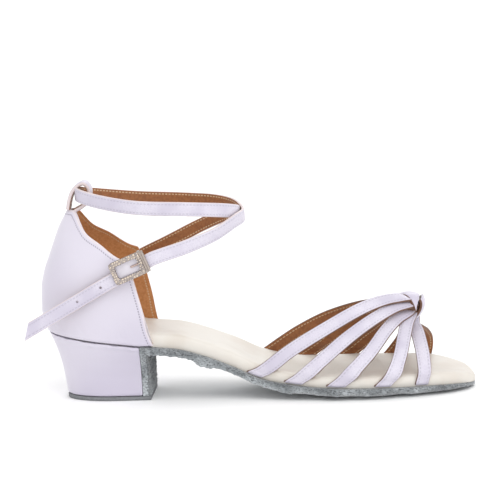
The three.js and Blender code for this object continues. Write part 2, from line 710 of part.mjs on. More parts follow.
// Jewelled plate on a base ring, with two posts beside the strap and a bar behind it
function buckleFrameGeometry() {
  const half = buckleLength / 2;
  const base = frameGeometry(-half, half, strapFace, strapFace + buckleBaseThickness);
  const plateTop = strapFace + buckleBaseThickness + bucklePlateThickness;
  const jewelled = frameGeometry(-half, half - buckleBar * 0.8, strapFace + buckleBaseThickness * 0.9, plateTop);
  const postWidth = buckleBar / 3;
  const postY = (buckleWidth - postWidth) / 2;
  const low = -strapFace - tabThickness;
  const postHeight = strapFace + buckleBaseThickness / 2 - low;
  const posts = [-postY, postY].map((y) => box(
    buckleBar / 2, postWidth, postHeight, barX, y, low + postHeight / 2,
  ));
  const bar = box(buckleBar / 2, 2 * postY, prongDiameter, barX, 0, low + prongDiameter / 2);
  return fuse([base, jewelled, ...posts, bar].map((geometry) => placedSolid(geometry, buckleBasis)));
}

// Short prong that lies on the strap in the frame's opening and goes down its hole
function buckleProngGeometry() {
  const tip = buckleLength * 0.03;
  const root = openingEnd - clearance;
  const run = box(root - tip, prongDiameter, prongDiameter, (root + tip) / 2, 0, strapFace + prongDiameter / 2);
  return placedSolid(run, buckleBasis);
}

// Tab that ties the buckle's bar to the counter, under the strap
function buckleTabGeometry() {
  const start = barX - buckleLength * 0.75;
  const end = barX - buckleBar / 4 - clearance;
  const middleZ = -strapFace - tabThickness / 2;
  const run = box(end - start, tabWidth, tabThickness, (start + end) / 2, -buckleShift / 2, middleZ);
  return placedSolid(run, buckleBasis);
}

function finish(color, roughness, metalness = 0) {
  return new THREE.MeshStandardMaterial({ color, roughness, metalness });
}

const satin = finish(0xe2dfee, 0.35);
const suede = finish(0x8e9498, 0.95);
const cream = finish(0xe8e3de, 0.5);
const silver = finish(0xc9c2ba, 0.3, 0.9);

const shoe = new THREE.Group();

function addPiece(name, geometry, material) {
  geometry.computeVertexNormals();
  const mesh = new THREE.Mesh(geometry, material);
  mesh.name = name;
  shoe.add(mesh);
}

addPiece('outsole', outsoleGeometry(), suede);
addPiece('heel', heelGeometry(), satin);
addPiece('heel_tip', heelTipGeometry(), suede);
addPiece('insole', insoleGeometry(), cream);
addPiece('counter', counterGeometry(), satin);
addPiece('vamp', vampGeometry(), satin);
addPiece('ankle_strap', ankleStrapGeometry(), satin);
addPiece('strap_keeper', keeperGeometry(), satin);
addPiece('buckle_frame', buckleFrameGeometry(), silver);
addPiece('buckle_prong', buckleProngGeometry(), silver);
addPiece('buckle_tab', buckleTabGeometry(), satin);

export default shoe;
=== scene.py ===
import math
import bpy
import numpy as np
from mathutils import Matrix


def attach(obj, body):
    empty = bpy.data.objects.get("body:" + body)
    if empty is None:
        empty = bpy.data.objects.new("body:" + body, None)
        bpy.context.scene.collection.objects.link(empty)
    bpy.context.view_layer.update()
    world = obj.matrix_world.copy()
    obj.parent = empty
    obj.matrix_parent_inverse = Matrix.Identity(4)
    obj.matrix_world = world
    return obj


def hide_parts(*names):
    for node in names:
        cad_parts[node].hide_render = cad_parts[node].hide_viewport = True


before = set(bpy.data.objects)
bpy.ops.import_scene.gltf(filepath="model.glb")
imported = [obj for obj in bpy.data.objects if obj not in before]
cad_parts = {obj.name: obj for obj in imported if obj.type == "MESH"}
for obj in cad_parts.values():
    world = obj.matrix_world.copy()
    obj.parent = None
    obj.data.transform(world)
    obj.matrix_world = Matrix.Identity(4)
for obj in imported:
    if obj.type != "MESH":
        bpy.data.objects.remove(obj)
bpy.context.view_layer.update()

mm = 0.001


# Camera: the photo's side view, 4 degrees round and 9 above, a long lens, rolled a little

cameraLook = {
    "azimuth": 4.0, "elevation": 9.0, "roll": 2.4, "distance": 1400.0,   # degrees and mm
    "pixelSize": 0.55, "anchor": (23.08, -19.0, 0.0), "anchorPixel": (149.4, 400.5),
}


def placeCamera(look):
    az, el, roll = (math.radians(look[key]) for key in ("azimuth", "elevation", "roll"))
    back = np.array([math.sin(az) * math.cos(el), -math.cos(az) * math.cos(el), math.sin(el)])
    level = np.array([math.cos(az), math.sin(az), 0.0])
    upright = np.cross(back, level)
    right = level * math.cos(roll) - upright * math.sin(roll)
    up = upright * math.cos(roll) + level * math.sin(roll)
    focal = look["distance"] / look["pixelSize"]
    px, py = look["anchorPixel"]
    ray = -back + right * (px - 250) / focal + up * (250 - py) / focal
    spot = (np.array(look["anchor"]) - look["distance"] * ray) * mm
    data = bpy.data.cameras.new("camera")
    data.sensor_width = 36.0
    data.lens = focal / 500 * 36.0
    data.clip_end = 100
    camera = bpy.data.objects.new("camera", data)
    bpy.context.scene.collection.objects.link(camera)
    turn = Matrix([[right[i], up[i], back[i], spot[i]] for i in range(3)] + [[0, 0, 0, 1]])
    camera.matrix_world = turn
    bpy.context.scene.camera = camera


placeCamera(cameraLook)
print("camera placed")


# Tables and sizes of the shoe, in mm

length, ballWidth, seatWidth = 240.0, 72.0, 52.6
heelHeight, seatRise, soleThickness = 31.4, 6.6, 4.4
insoleThickness, insoleDish, tipThickness = 7.2, 1.2, 2.2
heelCentreAt, breastAt, widestSeatAt, toeFlushAt = 0.158, 0.2388, 0.175, 0.95
counterHeight, counterWall, counterHem = 73.6, 2.0, 9.0
clearance = 0.3

soleTable = {
    "at": [.225, .317, .383, .450, .508, .558, .608, .667, .717, .771, .833, .896, .942, .973, .992, 1.0],
    "inner": [.728, .706, .694, .706, .744, .797, .869, .936, .964, .944, .861, .736, .597, .444, .278, .083],
    "outer": [.722, .667, .633, .639, .694, .778, .889, 1.0, 1.036, 1.05, 1.01, .880, .690, .470, .190, -.083],
    "lift": [1.0, .930, .770, .525, .263, .137, .056, .011, 0, 0, 0, 0, .011, .030, .040, .045],
    "crown": [0, 0, 0, .07, .20, .31, .43, .45, .42, .38, .34, .32, .32, .27, .20, .18],
    "thick": [1, 1, 1, 1, 1, 1.05, 1.07, 1.09, 1.08, 1.05, .98, .91, .73, .52, .38, .34],
    "pad": [1.08, 1.16, 1.18, 1.19, 1.14, .97, .86, .87, .92, .94, .97, 1.0, .95, .87, .75, .65],
}
counterTable = {
    "level": [0, .117, .253, .416, .552, .660, .769, .878, 1.0],
    "back": [.0283, .0167, .0067, .0083, .0170, .0296, .0425, .0560, .0770],
    "half": [1.0, 1.03, 1.076, 1.1, 1.1, 1.06, .93, .70, .40],
    "front": [.2720, .26, .2533, .2425, .2325, .2220, .2125, .2020, .1920],
}
toplineTable = {
    "turn": [0, .33, .45, .555, .656, .8, .944, 1.0],
    "level": [1, 1, .968, .912, .843, .772, .668, .645],
}
heelTable = {
    "level": [0, .35, .60, .85, 1.0],
    "back": [.0580, .0510, .0433, .0310, .0225],
    "half": [.703, .734, .806, .920, .985],
}


# Curve through a table's column: cubic pieces whose slopes never overshoot
def readTable(table, key, column, at):
    xs, ys = np.array(table[key], float), np.array(table[column], float)
    slope = np.diff(ys) / np.diff(xs)
    product = slope[:-1] * slope[1:]
    total = slope[:-1] + slope[1:]
    inner = np.where(product > 0, 2 * product / np.where(total == 0, 1, total), 0)
    tangent = np.concatenate([slope[:1], inner, slope[-1:]])
    at = np.clip(at, xs[0], xs[-1])
    i = np.clip(np.searchsorted(xs, at, side="right") - 1, 0, len(xs) - 2)
    span = xs[i + 1] - xs[i]
    t = (at - xs[i]) / span
    rise = span * (tangent[i] * t * (1 - t) ** 2 - tangent[i + 1] * t * t * (1 - t))
    return ys[i] * (1 + 2 * t) * (1 - t) ** 2 + ys[i + 1] * t * t * (3 - 2 * t) + rise


def smooth(value):
    value = np.clip(value, 0, 1)
    return value * value * (3 - 2 * value)


def placeX(at):
    return (np.asarray(at, float) - heelCentreAt) * length


def shareOf(x):
    return x / length + heelCentreAt


breastX = float(placeX(breastAt))
flapThickness = 4.2
flapX = breastX + clearance + flapThickness
heelBackX = float(placeX(heelTable["back"][-1]))
insoleInset = counterWall + clearance
hemEndX = float(placeX(counterTable["front"][0])) + 2 * clearance
tipTable = {key: values[::-1] for key, values in soleTable.items()}
tipTable["fromTip"] = [math.sqrt(1 - at) for at in tipTable["at"]]


def soleHalf(x, side):
    return readTable(tipTable, "fromTip", side, np.sqrt(np.maximum(0, 1 - shareOf(x)))) * ballWidth / 2


def soleValue(x, column):
    return readTable(soleTable, "at", column, shareOf(x))


# Half an ellipse behind the seat's widest place, blended into the waist
def footHalf(x, side):
    x = np.asarray(x, float)
    widest = float(placeX(widestSeatAt))
    reach = np.maximum(0, (widest - x) / (widest - heelBackX))
    seat = seatWidth / 2 * np.sqrt(np.maximum(0, 1 - reach ** 2))
    blend = smooth((x - widest) / (breastX - widest))
    return np.where(x < breastX, seat * (1 - blend) + soleHalf(x, side) * blend, soleHalf(x, side))


def middleY(x):
    return (footHalf(x, "outer") - footHalf(x, "inner")) / 2


def halfWidth(x):
    return np.maximum(1e-6, (footHalf(x, "outer") + footHalf(x, "inner")) / 2)


def across(x, y):
    half = halfWidth(x)
    return np.where(half < 0.01, 1.0, np.minimum(1, np.abs(y - middleY(x)) / half))


def seatTop(x):
    return heelHeight + seatRise * (breastX - x) / (breastX - heelBackX)


def soleLift(x):
    return soleValue(x, "lift") * (heelHeight - soleThickness)


def soleBottom(x, y):
    return soleLift(x) + soleValue(x, "crown") * soleThickness * smooth((across(x, y) - 0.5) * 2)


def soleTop(x, y):
    crown = soleValue(x, "crown") * soleThickness
    return soleLift(x) + crown * across(x, y) ** 2 + soleValue(x, "thick") * soleThickness


def insoleBottom(x, y):
    seat = np.maximum(seatTop(x), heelHeight) + counterWall + 2 * clearance
    sole = soleTop(np.maximum(x, breastX), y) + clearance
    blend = smooth((x - hemEndX) / insoleInset / 2)
    return seat * (1 - blend) + sole * blend


def insoleTop(x, y):
    base = np.where(x < breastX, seatTop(x), soleTop(x, middleY(x) + halfWidth(x)))
    return base + soleValue(x, "pad") * insoleThickness - insoleDish * (1 - across(x, y) ** 2)


def counterFootZ(x):
    return np.maximum(seatTop(x), heelHeight) + clearance


# Sum of a few sines of unlike lengths, between about -1 and 1
def ripple(value, seed, longest):
    pick = np.random.default_rng(seed)
    waves = [np.sin(2 * math.pi * value / (longest * 0.62 ** i) + pick.uniform(0, 6.28)) for i in range(5)]
    return sum(wave * 0.75 ** i for i, wave in enumerate(waves)) / 2


# Meshes

# Grid of points, ring after ring, made into a closed or open mesh with its own map and values
def gridMesh(name, points, mapping=None, values=None, loopRings=False, ends="flat", sharp=40):
    rings, count = points.shape[:2]
    index = np.arange(rings * count).reshape(rings, count)
    following = np.roll(index, -1, axis=0) if loopRings else index[1:]
    rows = index if loopRings else index[:-1]
    quads = np.stack([rows, np.roll(rows, -1, 1), np.roll(following, -1, 1), following], -1).reshape(-1, 4)
    faces = quads.tolist()
    verts = points.reshape(-1, 3)
    if not loopRings and ends == "flat":
        faces += [index[0][::-1].tolist(), index[-1].tolist()]
    middle = verts.mean(0)
    a, b, c = (verts[quads[:, i]] - middle for i in (0, 1, 2))
    if np.einsum("ij,ij->i", a, np.cross(b, c)).sum() < 0:
        faces = [face[::-1] for face in faces]
    mesh = bpy.data.meshes.new(name)
    mesh.from_pydata((verts * mm).tolist(), [], faces)
    if mapping is not None:
        corners = np.empty(len(mesh.loops), int)
        mesh.loops.foreach_get("vertex_index", corners)
        layer = mesh.uv_layers.new(name="map")
        layer.data.foreach_set("uv", mapping.reshape(-1, 2)[corners].astype(np.float32).ravel())
    for key, value in (values or {}).items():
        store = mesh.attributes.new(key, "FLOAT", "POINT")
        store.data.foreach_set("value", np.broadcast_to(value, points.shape[:2]).astype(np.float32).ravel())
    return meshObject(name, mesh, sharp)


def meshObject(name, mesh, sharp=40):
    mesh.validate()
    mesh.shade_smooth()
    mesh.set_sharp_from_angle(angle=math.radians(sharp))
    piece = bpy.data.objects.new(name, mesh)
    bpy.context.scene.collection.objects.link(piece)
    return piece


# Centripetal curve through the points, given back at even steps
def smoothPath(points, step):
    points = np.asarray(points, float)
    p = np.vstack([2 * points[0] - points[1], points, 2 * points[-1] - points[-2]])
    gap = np.sqrt(np.linalg.norm(np.diff(p, axis=0), axis=1))[:, None]
    a, b, c = gap[:-2], gap[1:-1], gap[2:]
    p0, p1, p2, p3 = p[:-3], p[1:-2], p[2:-1], p[3:]
    m1 = ((p1 - p0) / a - (p2 - p0) / (a + b) + (p2 - p1) / b) * b
    m2 = ((p2 - p1) / b - (p3 - p1) / (b + c) + (p3 - p2) / c) * b
    t = np.linspace(0, 1, 30, endpoint=False)[None, :, None]
    p1, p2, m1, m2 = (v[:, None] for v in (p1, p2, m1, m2))
    curve = (p1 * (1 + 2 * t) * (1 - t) ** 2 + p2 * t * t * (3 - 2 * t)
             + m1 * t * (1 - t) ** 2 - m2 * t * t * (1 - t))
    curve = np.vstack([curve.reshape(-1, 3), points[-1:]])
    run = np.concatenate([[0], np.cumsum(np.linalg.norm(np.diff(curve, axis=0), axis=1))])
    even = np.linspace(0, run[-1], max(2, int(run[-1] / step)) + 1)
    return np.stack([np.interp(even, run, curve[:, i]) for i in range(3)], -1), even


# Rounded rectangle, a little fuller on its outer face: across, and high from -1 to 1
def ribbonProfile(width, thickness, crown=0.1, turnSteps=4, flatSteps=9):
    radius = thickness * 0.45
    flat = np.linspace(-(width / 2 - radius), width / 2 - radius, flatSteps)
    arc = np.linspace(0, math.pi / 2, turnSteps + 1)[1:-1]
    wide, low = width / 2 - radius, thickness / 2 - radius
    top = np.stack([flat, thickness / 2 + crown * (1 - (flat / wide) ** 2)], -1)
    bottom = np.stack([flat[::-1], np.full(flatSteps, -thickness / 2)], -1)

    def corner(sx, sz, turn):
        return np.stack([sx * (wide + radius * np.cos(turn)), sz * (low + radius * np.sin(turn))], -1)

    right = np.vstack([corner(1, 1, arc[::-1]), [[width / 2, low], [width / 2, -low]], corner(1, -1, arc)])
    left = np.vstack([corner(-1, -1, arc[::-1]), [[-width / 2, -low], [-width / 2, low]], corner(-1, 1, arc)])
    return np.vstack([top, right, bottom, left])


def unit(vectors):
    return vectors / np.maximum(1e-9, np.linalg.norm(vectors, axis=-1, keepdims=True))


# Profile carried along a path: place + wide * across + face * height, wide = tangent x face.
# The map holds millimetres across and along, side runs from -1 inside to 1 outside.
def ribbon(name, path, run, outward, width, thickness, scale=None, slant=0, crown=0.1, sharp=50, wide=None):
    tangent = unit(np.gradient(path, axis=0))
    face = outward - tangent * np.einsum("ij,ij->i", outward, tangent)[:, None]
    face = unit(face)
    wide = np.cross(tangent, face) if wide is None else wide
    profile = ribbonProfile(width, thickness, crown)
    scale = np.ones(len(path)) if scale is None else scale
    u = profile[None, :, 0] * scale[:, None]
    v = np.broadcast_to(profile[None, :, 1], u.shape)
    points = path[:, None] + wide[:, None] * u[..., None] + face[:, None] * v[..., None]
    lean = slant * np.clip((np.arange(len(path)) - len(path) + 9) / 8, 0, 1)   # a slanted end
    points = points + tangent[:, None] * (u * lean[:, None])[..., None]
    mapping = np.stack([u, np.broadcast_to(run[:, None], u.shape)], -1)
    return gridMesh(name, points, mapping, {"side": v / (thickness / 2)}, sharp=sharp)


# Several meshes put together as one piece
def joinPieces(name, parts):
    chosen = {"active_object": parts[0], "selected_editable_objects": parts, "selected_objects": parts}
    with bpy.context.temp_override(**chosen):
        bpy.ops.object.join()
    parts[0].name = name
    parts[0].data.name = name
    return parts[0]


# Materials

class Value:
    # a socket or number that adds, multiplies and so on as plain maths
    def __init__(self, graph, socket):
        self.graph, self.socket = graph, socket

    def maths(self, operation, *others):
        node = self.graph.tree.nodes.new("ShaderNodeMath")
        node.operation = operation
        for slot, value in zip(node.inputs, others):
            self.graph.feed(slot, value)
        return Value(self.graph, node.outputs[0])

    def __add__(self, other): return self.maths("ADD", self, other)
    def __radd__(self, other): return self.maths("ADD", other, self)
    def __sub__(self, other): return self.maths("SUBTRACT", self, other)
    def __rsub__(self, other): return self.maths("SUBTRACT", other, self)
    def __mul__(self, other): return self.maths("MULTIPLY", self, other)
    def __rmul__(self, other): return self.maths("MULTIPLY", other, self)
    def __truediv__(self, other): return self.maths("DIVIDE", self, other)
    def __rtruediv__(self, other): return self.maths("DIVIDE", other, self)
    def __mod__(self, other): return self.maths("FLOORED_MODULO", self, other)
    def __abs__(self): return self.maths("ABSOLUTE", self)
    def under(self, other): return self.maths("LESS_THAN", self, other)
    def wave(self): return self.maths("SINE", self)

    # 0 below low, 1 above high, a soft step between
    def ramp(self, low, high):
        return self.graph.add("ShaderNodeMapRange", {"interpolation_type": "SMOOTHSTEP"},
                              {"Value": self, "From Min": low, "From Max": high, "To Min": 0.0, "To Max": 1.0})


class Graph:
    def __init__(self, name, **fixed):
        self.material = bpy.data.materials.new(name)
        self.material.use_nodes = True
        self.tree = self.material.node_tree
        self.shader = self.tree.nodes["Principled BSDF"]
        for key, value in fixed.items():
            self.shader.inputs[key.replace("_", " ")].default_value = value

    def feed(self, slot, value):
        if isinstance(value, Value):
            self.tree.links.new(value.socket, slot)
        else:
            slot.default_value = value

    def add(self, kind, settings=None, inputs=None, output=0):
        node = self.tree.nodes.new(kind)
        for key, value in (settings or {}).items():
            setattr(node, key, value)
        for key, value in (inputs or {}).items():
            self.feed(node.inputs[key], value)
        return Value(self, node.outputs[output])

    def mix(self, factor, first, second):
        return self.add("ShaderNodeMix", {"data_type": "RGBA"}, {0: factor, 6: first, 7: second}, 2)

    def place(self):
        return self.add("ShaderNodeTexCoord", output="Object")

    def noise(self, scale, detail=3.0, stretch=(1, 1, 1)):
        spot = self.add("ShaderNodeVectorMath", {"operation": "MULTIPLY"}, {0: self.place(), 1: stretch})
        return self.add("ShaderNodeTexNoise", None, {"Vector": spot, "Scale": scale, "Detail": detail}, "Fac")

    def map(self):
        split = self.tree.nodes.new("ShaderNodeSeparateXYZ")
        self.feed(split.inputs[0], self.add("ShaderNodeUVMap", {"uv_map": "map"}))
        return Value(self, split.outputs[0]), Value(self, split.outputs[1])

    def stored(self, name):
        return self.add("ShaderNodeAttribute", {"attribute_name": name}, output="Fac")

    def set(self, **inputs):
        for key, value in inputs.items():
            self.feed(self.shader.inputs[key.replace("_", " ")], value)

    def bump(self, height, distance, strength=1.0):
        self.set(Normal=self.add("ShaderNodeBump", None,
                                 {"Height": height, "Distance": distance, "Strength": strength}, "Normal"))


exposure = 1.2   # how bright the studio is; the colours below are as they look in it


def colour(red, green, blue):
    share = [v / 255 for v in (red, green, blue)]
    linear = [v / 12.92 if v <= 0.04045 else ((v + 0.055) / 1.055) ** 2.4 for v in share]
    return (*[v / exposure for v in linear], 1.0)


# Row of stitches: a dash wherever along is in the first part of each pitch, near the line
def stitchRow(distance, along, pitch, width):
    dash = ((along % pitch) / pitch).under(0.62)
    return dash * (1 - abs(distance).ramp(width * 0.4, width))


satinLook = {
    "face": colour(226, 221, 234), "shade": colour(209, 203, 220), "thread": colour(160, 154, 170),
    # the straps' lining and the counter's lining are one leather: the straps' copy is darker as painted shade,
    # the counter's copy lighter as painted light
    "lining": colour(160, 102, 58), "liningDark": colour(140, 86, 48), "liningThread": colour(214, 182, 146),
    "cupLining": colour(204, 142, 88), "cupLiningDark": colour(188, 124, 72),
    # edge: a dark brown line along the straps' edges, the lining showing there and partly painted shade of the
    # gaps beside them
    "edge": colour(112, 80, 62), "paleEdge": colour(228, 214, 214), "roughness": 0.36,
}


# Satin outside, brown lining inside, both told apart by side, with stitch rows from the map
def strapMaterial(name, look, half, inset, pitch, split, edge="edge", stitch=0.38):
    graph = Graph(name, Sheen_Weight=0.25, Sheen_Roughness=0.4, Specular_IOR_Level=0.45)
    u, v = graph.map()
    side = graph.stored("side")
    satin = side.ramp(split - 0.12, split + 0.12)
    line = abs(u) - (half - inset)
    thread = stitchRow(line, v, pitch, 0.42)
    soft = graph.noise(70, 2)
    pad = graph.noise(700, 3)
    glitter = graph.noise(1500, 2)
    cloth = graph.mix(soft.ramp(0.35, 0.7), look["face"], look["shade"])
    cloth = graph.mix(glitter.ramp(0.45, 0.65) * 0.6, cloth, look["shade"])
    cloth = graph.mix(thread * stitch, cloth, look["thread"])
    # a line of the edge colour along both long edges; the dark brown one is the lining showing there and partly
    # painted shade
    cloth = graph.mix(abs(u).ramp(half - 0.42, half - 0.16), cloth, look[edge])
    # the straps' lining colour is darker than the counter's: painted shade
    hide = graph.mix(pad.ramp(0.35, 0.7), look["lining"], look["liningDark"])
    inside = side.under(-0.75)
    hide = graph.mix(thread * inside, hide, look["liningThread"])
    # the lining's side faces take the edge colour too; the dark brown one is partly painted shade
    hide = graph.mix(1 - inside, hide, look[edge])
    graph.set(Base_Color=graph.mix(satin, hide, cloth), Roughness=0.62 - satin * (0.62 - look["roughness"]))
    groove = 1 - abs(line).ramp(0.1, 0.8)
    weave = (u * 9.0).wave() * (v * 9.0).wave()
    graph.bump(soft * 0.8 + weave * 0.012 - groove * 0.22 + thread * 0.2 + pad * 0.06, 0.0006, 0.8)
    return graph.material


insoleLook = {"face": colour(232, 227, 219), "warm": colour(224, 216, 206), "roughness": 0.42}


def insoleMaterial(name, look):
    graph = Graph(name, Specular_IOR_Level=0.4, Coat_Weight=0.1, Coat_Roughness=0.35)
    soft, grain = graph.noise(45, 3), graph.noise(900, 2)
    base = graph.mix(soft.ramp(0.4, 0.7), look["face"], look["warm"])
    graph.set(Base_Color=base, Roughness=look["roughness"] + grain * 0.12)
    graph.bump(soft * 0.5 + grain * 0.08, 0.0009, 0.6)
    return graph.material


suedeLook = {
    "pale": colour(196, 202, 206), "mid": colour(128, 134, 139), "dark": colour(70, 73, 76), "roughness": 0.95,
}


def suedeMaterial(name, look):
    graph = Graph(name, Sheen_Weight=0.6, Sheen_Roughness=0.6, Specular_IOR_Level=0.15)
    patch = graph.noise(60, 4, (1, 1, 1.6))
    fibre = graph.noise(1100, 4, (0.75, 1, 1.2))
    share = graph.stored("share")
    base = graph.mix(patch.ramp(0.32, 0.68), look["mid"], look["pale"])
    base = graph.mix(fibre.ramp(0.48, 0.66) * 0.85, base, look["dark"])
    # painted shade along the top of the sole's edge, where it meets the insole
    base = graph.mix(share.ramp(0.72, 0.96) * 0.45, base, look["dark"])
    base = graph.mix(share.under(-0.5) * 0.62, base, look["dark"])   # painted shade on the breast face
    graph.set(Base_Color=base, Roughness=look["roughness"])
    graph.bump(fibre + patch * 1.2, 0.0012, 0.9)
    return graph.material


def plainMaterial(name, tint, roughness, metallic=0.0, bumpScale=600, bumpDepth=0.0002, **fixed):
    graph = Graph(name, Metallic=metallic, **fixed)
    grain = graph.noise(bumpScale, 3)
    dark = tuple(v * 0.82 for v in tint[:3]) + (1.0,)
    graph.set(Base_Color=graph.mix(grain.ramp(0.35, 0.7), tint, dark), Roughness=roughness + grain * 0.1)
    graph.bump(grain, bumpDepth, 0.7)
    return graph.material


def dress(piece, material, slot, *nodes):
    piece.data.materials.clear()
    piece.data.materials.append(material)
    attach(piece, "root")
    if nodes:
        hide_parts(*nodes)
    return piece


# Sole: outsole with its flap, insole

soleLook = {
    "raggedEdge": 0.7, "scallop": 1.4, "scallopHalf": 4.2,   # the edge's wobble, its bulge at each strap
    "waveGain": 1.8, "standOff": 1.1,   # how far the tread's edge is lifted
    "tornAt": 54.5, "tornHalf": 5.0, "tornDepth": 2.2,   # a torn flap that hangs at the waist
    "napLength": 1.5, "napHalf": 0.09, "napCount": 9000,
}
coverLook = {"tipReach": 6, "tipDrop": 2.4, "toePad": 0.7, "wave": 0.14}
strapBases = [0.501, 0.589, 0.686, 0.791, 0.878]
# start, end, share of the half width toward the near side, depth, width
creases = [(112, 129, 0.84, 0.5, 0.7), (136, 155, 0.82, 0.55, 0.8),
           (60, 74, 0.86, 0.25, 0.9), (88, 98, 0.80, 0.3, 0.8)]
# lower edge of the suede beside the straps: place along the shoe, how far it is lifted
edgeWaves = ([60, 74, 90, 99.9, 110.4, 118, 127.3, 135, 144, 152.6, 158, 161.4, 167.4, 172.4, 177.4, 188],
             [0, .3, 0, -.5, .7, 0, -.5, .6, -.4, 0, .8, 1.3, -.3, .2, .4, 0])


# Places from start to end, closer and closer together toward the end
def spread(start, end, count):
    return start + (end - start) * np.sin(np.linspace(0, math.pi / 2, count + 1))


# Insole's top as it looks: rounded down at the tip, with creases and a few soft waves
def coverTop(x, y):
    look, reach = coverLook, coverLook["tipReach"]
    near = np.clip((x - placeX(1) + reach) / reach, 0, 1)
    z = insoleTop(x, y) - look["tipDrop"] * (1 - np.sqrt(1 - near ** 2))
    for start, end, offset, depth, width in creases:
        line = middleY(x) - offset * halfWidth(x)
        fade = smooth((x - start) / 3) * smooth((end - x) / 3)
        z = z - depth * fade * np.exp(-((y - line) / width) ** 2)
    # a fuller pad at the small toes
    z = z + look["toePad"] * smooth((x - 158) / 18) * smooth((198 - x) / 26) * smooth((y + 10) / 22)
    return z + look["wave"] * ripple(x + 0.6 * y, 51, 26) * (1 - across(x, y) ** 4)


# Insole's underside as it looks: the cover reaches down to the sole right behind the counter's corner
def coverBottom(x, y):
    sole = soleTop(np.maximum(x, breastX), y) + 0.1
    blend = smooth((x - hemEndX + 5) / 3)
    return insoleBottom(x, y) * (1 - blend) + sole * blend


# Plate between two height functions: y = middle + reach * half, z = low + share * (high - low)
def plate(name, stations, rim, inset, low, high, ragged=0):
    reach = np.concatenate([-rim[:, 0], rim[::-1, 0][rim[::-1, 0] > 0]])
    share = np.concatenate([rim[:, 1], rim[::-1, 1][rim[::-1, 0] > 0]])
    x = stations[:, None]
    half = np.maximum(0.0, halfWidth(x) - inset(x))
    side = np.sign(reach)[None]
    y = middleY(x) + reach[None] * half
    bottom, top = low(x, y), high(x, y)
    z = bottom + share[None] * (top - bottom)
    outer = smooth((np.abs(reach) - 0.9) / 0.1)[None]
    if ragged:
        wobble = ragged * ripple(x + 40 * side + 3 * share[None], 5, 9.0)
        bases = placeX(strapBases)[:, None, None]
        bulge = np.exp(-((x[None] - bases) / soleLook["scallopHalf"]) ** 2).sum(0) * soleLook["scallop"]
        fade = smooth(half / 6)
        y = y + side * outer * fade * (wobble + bulge * share[None])
        lowSide = (1 - share[None]) * outer
        lifted = soleLook["waveGain"] * np.interp(x, *edgeWaves) + 0.35 * ripple(x + 17 * side, 9, 5.0)
        # under the forefoot the tread's edge stands off the floor
        lifted = lifted + soleLook["standOff"] * smooth((x - 100) / 25) * smooth((199 - x) / 20)
        z = np.maximum(z + lowSide * lifted * smooth((soleLift(x) + 4) / 4), 0.02)
        hang = np.exp(-((x - soleLook["tornAt"]) / soleLook["tornHalf"]) ** 4) * outer * (side < 0)
        z = z - (soleLook["tornDepth"] + 0.6 * ripple(x, 13, 4.0)) * hang * (1 - share[None])
    points = np.stack([np.broadcast_to(x, y.shape), y, z], -1)
    mapping = np.stack([np.broadcast_to(x, y.shape), y], -1)
    return gridMesh(name, points, mapping, {"share": np.broadcast_to(share[None], y.shape)}, sharp=60)


outsoleRim = np.array([
    [0, 1], [.2, 1], [.4, 1], [.6, 1], [.8, 1], [.93, 1], [.985, .99], [1, .85], [1, .65], [1, .4], [1, .18],
    [.985, .03], [.93, 0], [.78, 0], [.6, 0], [.4, 0], [.2, 0], [0, 0]])
insoleRim = np.array([
    [0, 1], [.15, 1], [.3, 1], [.45, 1], [.6, 1], [.72, 1], [.82, .995], [.89, .975], [.94, .93], [.972, .85],
    [.99, .74], [1, .6], [1.003, .45], [1, .3], [.99, .12], [.98, 0], [.6, 0], [.3, 0], [0, 0]])


# Suede down the breast, a box whose width follows the heel beside it
def flapPiece():
    level = np.linspace(0, 0.97, 26)[:, None]
    half = readTable(heelTable, "level", "half", level) * seatWidth / 2
    z = tipThickness + clearance + level * (heelHeight - tipThickness - clearance)
    side = np.array([-1, -1, -1, -1, 1, 1, 1, 1])[None]
    depth = np.array([0, .45, .85, 1, 1, .85, .45, 0])[None]
    reach = np.array([1, 1, .99, .95, .95, .99, 1, 1])[None]
    worn = 0.45 * ripple(z * 1.7 + 20 * side, 21, 6.0) * (depth > 0.6)
    x = breastX + clearance + depth * flapThickness + worn
    y = side * reach * half
    points = np.stack([x, np.broadcast_to(y, x.shape), np.broadcast_to(z, x.shape)], -1)
    mapping = np.stack([x, np.broadcast_to(z, x.shape)], -1)
    # share -1 marks the breast face, which the suede material paints darker as shade
    share = np.where(depth > 0.6, -1.0, 0.6) + 0 * x
    return gridMesh("flap", points, mapping, {"share": share}, sharp=60)


# Fibres of the nap: thin triangles with their foot on the edge, pointing out and down
def napPiece(material):
    count = soleLook["napCount"]
    pick = np.random.default_rng(3)
    x = pick.uniform(breastX + 1, float(placeX(0.985)), count)
    side = pick.choice([-1, 1], count)
    share = pick.uniform(0.3, 0.95, count)
    y = middleY(x) + side * halfWidth(x) * 1.003
    z = soleBottom(x, y) + share * (soleTop(x, y) - soleBottom(x, y))
    foot = np.stack([x, y, z], -1)
    onBreast = count // 6
    level = pick.uniform(3, heelHeight - 4, onBreast)
    foot[:onBreast] = np.stack([np.full(onBreast, flapX), pick.uniform(-1, 1, onBreast) * 17.5, level], -1)
    lean = np.stack([pick.normal(0, 0.7, count), side * pick.uniform(0.2, 1.0, count),
                     pick.normal(-0.25, 0.5, count)], -1)
    lean[:onBreast] = np.stack([pick.uniform(0.3, 1, onBreast), pick.normal(0, 0.6, onBreast),
                                pick.normal(-0.2, 0.6, onBreast)], -1)
    lean = unit(lean) * pick.uniform(0.3, 1, count)[:, None] * soleLook["napLength"]
    tip = foot + lean
    tip[:, 2] = np.maximum(tip[:, 2], 0.1)
    foot[:, 2] = np.maximum(foot[:, 2], 0.1)
    wide = unit(np.cross(lean, pick.normal(0, 1, (count, 3)))) * soleLook["napHalf"]
    verts = np.stack([foot - wide, foot + wide, tip], 1).reshape(-1, 3)
    mesh = bpy.data.meshes.new("suede_nap")
    mesh.from_pydata((verts * mm).tolist(), [], np.arange(count * 3).reshape(-1, 3).tolist())
    return dress(meshObject("suede_nap", mesh), material, "suede")


